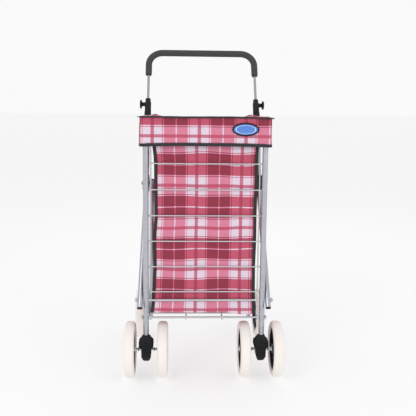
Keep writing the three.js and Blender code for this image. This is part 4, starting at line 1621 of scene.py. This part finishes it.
class TROLLEY_OT_lid(PieceOperator):
    """Padded lid with its hanging flap, binding, piping and stitches"""

    bl_idname = "trolley.lid"
    bl_label = "Lid"

    def build(self, context):
        low, high = node_box("lid_panel")
        plaid = plaid_material("Flap plaid", 7.1164, 0.3494, across=0.130)
        top = self.top(low, high)
        finish(top, "lid", "plaid_cloth", plaid, "lid_panel")

        line = flap_line()
        rows = [
            [(flap_point(x, y, i / 34), (u, flap_point(x, low.y, i / 34).z)) for x, y,
                u in line] for i in range(35)
        ]
        flap = cloth_surface("flap_cloth", rows)
        outwards_from(flap, Vector((0, -0.1, 0.73)))
        thickened(flap, 1.3 * MM)
        finish(flap, "lid", "plaid_cloth", plaid)
        trims = self.trims(low, high, line)

    def top(self, low, high):
        """A thin crowned pad: its faces meet along a soft edge."""
        front, back = low.y + 1.5 * MM, high.y
        columns, lines = 90, 66
        grids = []
        for face in (1, -1):
            rows = []
            for j in range(lines + 1):
                v = 0.5 - 0.5 * math.cos(math.pi * j / lines)
                row = []
                for i in range(columns + 1):
                    s = -math.cos(math.pi * i / columns)
                    y = front + (back - front) * v
                    x = s * lid_half_width(y) * (1 - 0.04 * smoothstep(0.93, 1.0, v) * abs(s) ** 3)
                    edge = min((1 - abs(s)) * 0.16, v * (back - front), (1 - v) * (back - front))
                    round_edge = math.sqrt(max(1 - (1 - min(edge / 0.009, 1)) ** 2, 0))
                    sag = 0.0105 * (1 - s ** 6) * smoothstep(0.0, 0.30, v)
                    crown = 0.0020 * math.exp(-((abs(s) - 0.97) / 0.045) ** 2) * smoothstep(0.02, 0.2, v)
                    dents = 0.0011 * ripple(x, y, 0, 13.0, 2.0) + 0.0005 * ripple(x, y, 0, 40.0, 7.0)
                    if face > 0:
                        z = 0.7642 - sag + round_edge * (0.0036 + crown + dents)
                    else:
                        z = 0.7642 - sag - round_edge * 0.0038
                    row.append((Vector((x, y, z)), (x, 0.765 + (y - front))))
                rows.append(row)
            grids.append(cloth_surface("pad", rows))
        whole = joined("lid_top", grids)
        face_outwards(whole)
        return smooth(whole, 60)

    def trims(self, low, high, line):
        tape, thread = black_tape(), dark_thread()
        edge = [flap_point(x, y, 1.0) for x, y, _ in line]
        binding_points = [p + Vector((0, 0, -3.2 * MM)) for p in edge]
        binding = sweep("flap_binding_finished", binding_points, 1.75 * MM, 20, flat=2.5,
            across=Vector((0, 0, 1)))
        finish(binding, "lid", "black_binding", tape, "flap_binding")
        roll_low, roll_high = node_box("lid_piping")
        reach, y, z = roll_high.x, (roll_low.y + roll_high.y) / 2, (roll_low.z + roll_high.z) / 2
        roll, radii = [], []
        for i in range(73):
            s = -1 + 2 * i / 72
            droop = 1.6 * MM * abs(s) ** 8 - 0.5 * MM * math.sin(s * 5.1)
            roll.append(Vector((s * reach, y + 0.4 * MM + 2.2 * MM * abs(s) ** 14, z - droop)))
            radii.append(2.5 * MM * (1 - 0.72 * smoothstep(0.945, 1.0,
                abs(s))) * (1 + 0.05 * math.sin(s * 23)))
        piping = sweep("lid_piping_finished", roll, radii, 20)
        finish(piping, "lid", "black_binding", tape, "lid_piping")
        route = []
        back = high.y
        for i in range(31):
            at = low.y + 6 * MM + (back - 5 * MM - low.y - 6 * MM) * i / 30
            route.append(Vector((-lid_half_width(at) - 0.3 * MM, at, 0.7642)))
        rear = [Vector((-x, y, z)) for x, y, z in reversed([tuple(p) for p in route])]
        reach = lid_half_width(back) * 0.95
        bend = [
            Vector((reach * s, back + 0.3 * MM, 0.7642 - 0.0105 * (1 - (0.96 * s) ** 6)))
            for s in [-1 + i / 12 for i in range(25)]
        ]
        cord = sweep("lid_edge_piping", [*route, *bend, *rear], 2.0 * MM, 14)
        finish(cord, "lid", "black_binding", tape)
        seam = [p + Vector((0, -1.0 * MM, 1.7 * MM)) if abs(p.x) < 0.173 else p for p in edge]
        seam = [p for p in seam if abs(p.x) < 0.173]
        places = stitch_places(seam, 4.6 * MM)
        sewn = repeated("flap_stitches", stitch(3.0 * MM), places, thread)
        finish(sewn, "lid", "black_binding", thread)
        return [binding, piping, cord, sewn]


class TROLLEY_OT_badge(PieceOperator):
    """Oval badge on the flap"""

    bl_idname = "trolley.badge"
    bl_label = "Badge"

    def build(self, context):
        low, high = node_box("badge_rim")
        middle, half_x, half_z = (low + high) / 2, (high.x - low.x) / 2, (high.z - low.z) / 2
        count = 96
        section = [(0.0, 0.0), (0.0, 1.5), (0.5, 2.2), (1.4, 2.6), (2.6, 2.6), (3.5, 2.2), (4.0, 1.5),
            (4.0, 0.0)]
        vertices, faces = [], []
        for k in range(count):
            turn = 2 * math.pi * k / count
            for inward, proud in section:
                x, z = half_x - inward * MM, half_z - inward * MM
                vertices.append((middle.x + x * math.cos(turn), high.y - proud * MM,
                    middle.z + z * math.sin(turn)))
        size = len(section)
        for k in range(count):
            for i in range(size):
                a, b = k * size + i, k * size + (i + 1) % size
                n = ((k + 1) % count) * size
                faces.append((a, b, n + (i + 1) % size, n + i))
        rim = make_object("badge_rim_finished", vertices, faces)
        face_outwards(rim)
        finish(smooth(rim, 50), "lid", "badge_rim", badge_rubber(), "badge_rim")

        rings = 12
        vertices, faces = [], []
        in_x, in_z = half_x - BADGE_RIM, half_z - BADGE_RIM
        for ring in range(rings + 1):
            share = 1 - ring / rings
            proud = 0.9 + 1.0 * math.sqrt(max(1 - share * share, 0))
            for k in range(count):
                turn = 2 * math.pi * k / count
                vertices.append((middle.x + in_x * share * math.cos(turn), high.y - proud * MM,
                    middle.z + in_z * share * math.sin(turn)))
        start = len(vertices)
        for k in range(count):
            turn = 2 * math.pi * k / count
            vertices.append((middle.x + in_x * math.cos(turn), high.y, middle.z + in_z * math.sin(turn)))
        for ring in range(rings):
            for k in range(count):
                a, b = ring * count + k, ring * count + (k + 1) % count
                faces.append((a, b, b + count, a + count))
        for k in range(count):
            faces.append((k, (k + 1) % count, start + (k + 1) % count, start + k))
        faces.append(tuple(start + k for k in range(count)))
        face = make_object("badge_face_finished", vertices, faces)
        face_outwards(face)
        finish(smooth(face, 50), "lid", "badge_face", badge_enamel(), "badge_face")


# ---------------------------------------------------------------- stage
class TROLLEY_OT_stage(PieceOperator):
    """Camera, floor and soft light"""

    bl_idname = "trolley.stage"
    bl_label = "Stage"

    def build(self, context):
        stage = settings("stage")
        self.camera(context, stage)
        floor = make_object("floor", [(-30, -30, 0), (30, -30, 0), (30, 30, 0), (-30, 30, 0)],
            [(0, 1, 2, 3)])
        material, tree, surface, place = new_material("Floor")
        mottle = use_group(tree, "Mottle", build_mottle,
            {"Vector": place.outputs["Object"], "Scale": 3.0, "Fine": 20.0})
        tone = tuple(stage.floor)
        shade = mix_colour(tree, calc(tree, "MULTIPLY", mottle["Grain"], 0.25), tone,
            tuple(c * 0.97 for c in tone))
        tree.links.new(shade, surface.inputs["Base Color"])
        surface.inputs["Roughness"].default_value = 0.9
        surface.inputs["Specular IOR Level"].default_value = 0.1
        surface.inputs["Emission Color"].default_value = (1, 1, 1, 1)
        surface.inputs["Emission Strength"].default_value = stage.glow
        floor.data.materials.append(material)
        for name, place, size, power, aim in (
            ("key", (-1.6, -2.6, 2.2), 1.6, 25.0, (0, 0, 0.45)),
            ("fill", (1.9, -2.2, 1.3), 1.4, 9.0, (0, 0, 0.5)),
            ("rim", (0.5, 2.2, 2.2), 1.4, 8.0, (0, 0, 0.6)),
        ):
            lamp = bpy.data.lights.new(name, "AREA")
            lamp.shape = "DISK"
            lamp.size = size
            lamp.energy = power
            light = bpy.data.objects.new(name, lamp)
            light.location = place
            light.rotation_euler = (Vector(aim) - Vector(place)).to_track_quat("-Z", "Y").to_euler()
            context.scene.collection.objects.link(light)
        self.world(context, stage)

    def camera(self, context, stage):
        lens = bpy.data.cameras.new("camera")
        lens.lens = stage.lens
        lens.sensor_width = 36
        lens.clip_end = 200
        camera = bpy.data.objects.new("camera", lens)
        heading, pitch = stage.heading, stage.pitch
        ahead = Vector((math.sin(heading) * math.cos(pitch), math.cos(heading) * math.cos(pitch),
            -math.sin(pitch)))
        level = ahead.to_track_quat("-Z", "Y").to_matrix().to_4x4()
        camera.matrix_world = Matrix.Translation(stage.camera) @ level @ Matrix.Rotation(stage.roll, 4, "Z")
        context.scene.collection.objects.link(camera)
        context.scene.camera = camera

    def world(self, context, stage):
        world = bpy.data.worlds.new("Studio")
        world.use_nodes = True
        tree = world.node_tree
        tree.nodes.clear()
        light = add_node(tree, "ShaderNodeBackground", {"Color": (1, 1, 1, 1), "Strength": stage.light})
        seen = add_node(tree, "ShaderNodeBackground", {"Color": (*stage.backdrop, 1), "Strength": 1.0})
        path = tree.nodes.new("ShaderNodeLightPath")
        mixed = tree.nodes.new("ShaderNodeMixShader")
        output = tree.nodes.new("ShaderNodeOutputWorld")
        tree.links.new(path.outputs["Is Camera Ray"], mixed.inputs[0])
        tree.links.new(light.outputs[0], mixed.inputs[1])
        tree.links.new(seen.outputs[0], mixed.inputs[2])
        tree.links.new(mixed.outputs[0], output.inputs["Surface"])
        context.scene.world = world
        context.scene.view_settings.view_transform = "Standard"


# ---------------------------------------------------------------- panel and registration
SETTINGS = {"cloth": ClothSettings, "metal": MetalSettings, "wheels": WheelSettings, "stage": StageSettings}
STEPS = (
    TROLLEY_OT_stage,
    TROLLEY_OT_tubes,
    TROLLEY_OT_wires,
    TROLLEY_OT_fixings,
    TROLLEY_OT_wheels,
    TROLLEY_OT_mouldings,
    TROLLEY_OT_grip,
    TROLLEY_OT_bag,
    TROLLEY_OT_lid,
    TROLLEY_OT_badge,
)


class VIEW3D_PT_trolley(bpy.types.Panel):
    """Settings of the trolley and its building steps"""

    bl_label = "Shopping trolley"
    bl_space_type = "VIEW_3D"
    bl_region_type = "UI"
    bl_category = "Trolley"

    def draw(self, context):
        for name, group in SETTINGS.items():
            box = self.layout.box()
            box.label(text=name.capitalize())
            for field in group.__annotations__:
                box.prop(getattr(context.scene, f"trolley_{name}"), field)
        for step in STEPS:
            self.layout.operator(step.bl_idname)


CLASSES = (*SETTINGS.values(), *STEPS, VIEW3D_PT_trolley)


def register():
    for made in CLASSES:
        bpy.utils.register_class(made)
    for name, group in SETTINGS.items():
        setattr(bpy.types.Scene, f"trolley_{name}", PointerProperty(type=group))


def unregister():
    for name in SETTINGS:
        delattr(bpy.types.Scene, f"trolley_{name}")
    for made in reversed(CLASSES):
        bpy.utils.unregister_class(made)


def main():
    register()
    for step in STEPS:
        getattr(bpy.ops.trolley, step.bl_idname.split(".")[1])()


if __name__ == "__main__":
    main()
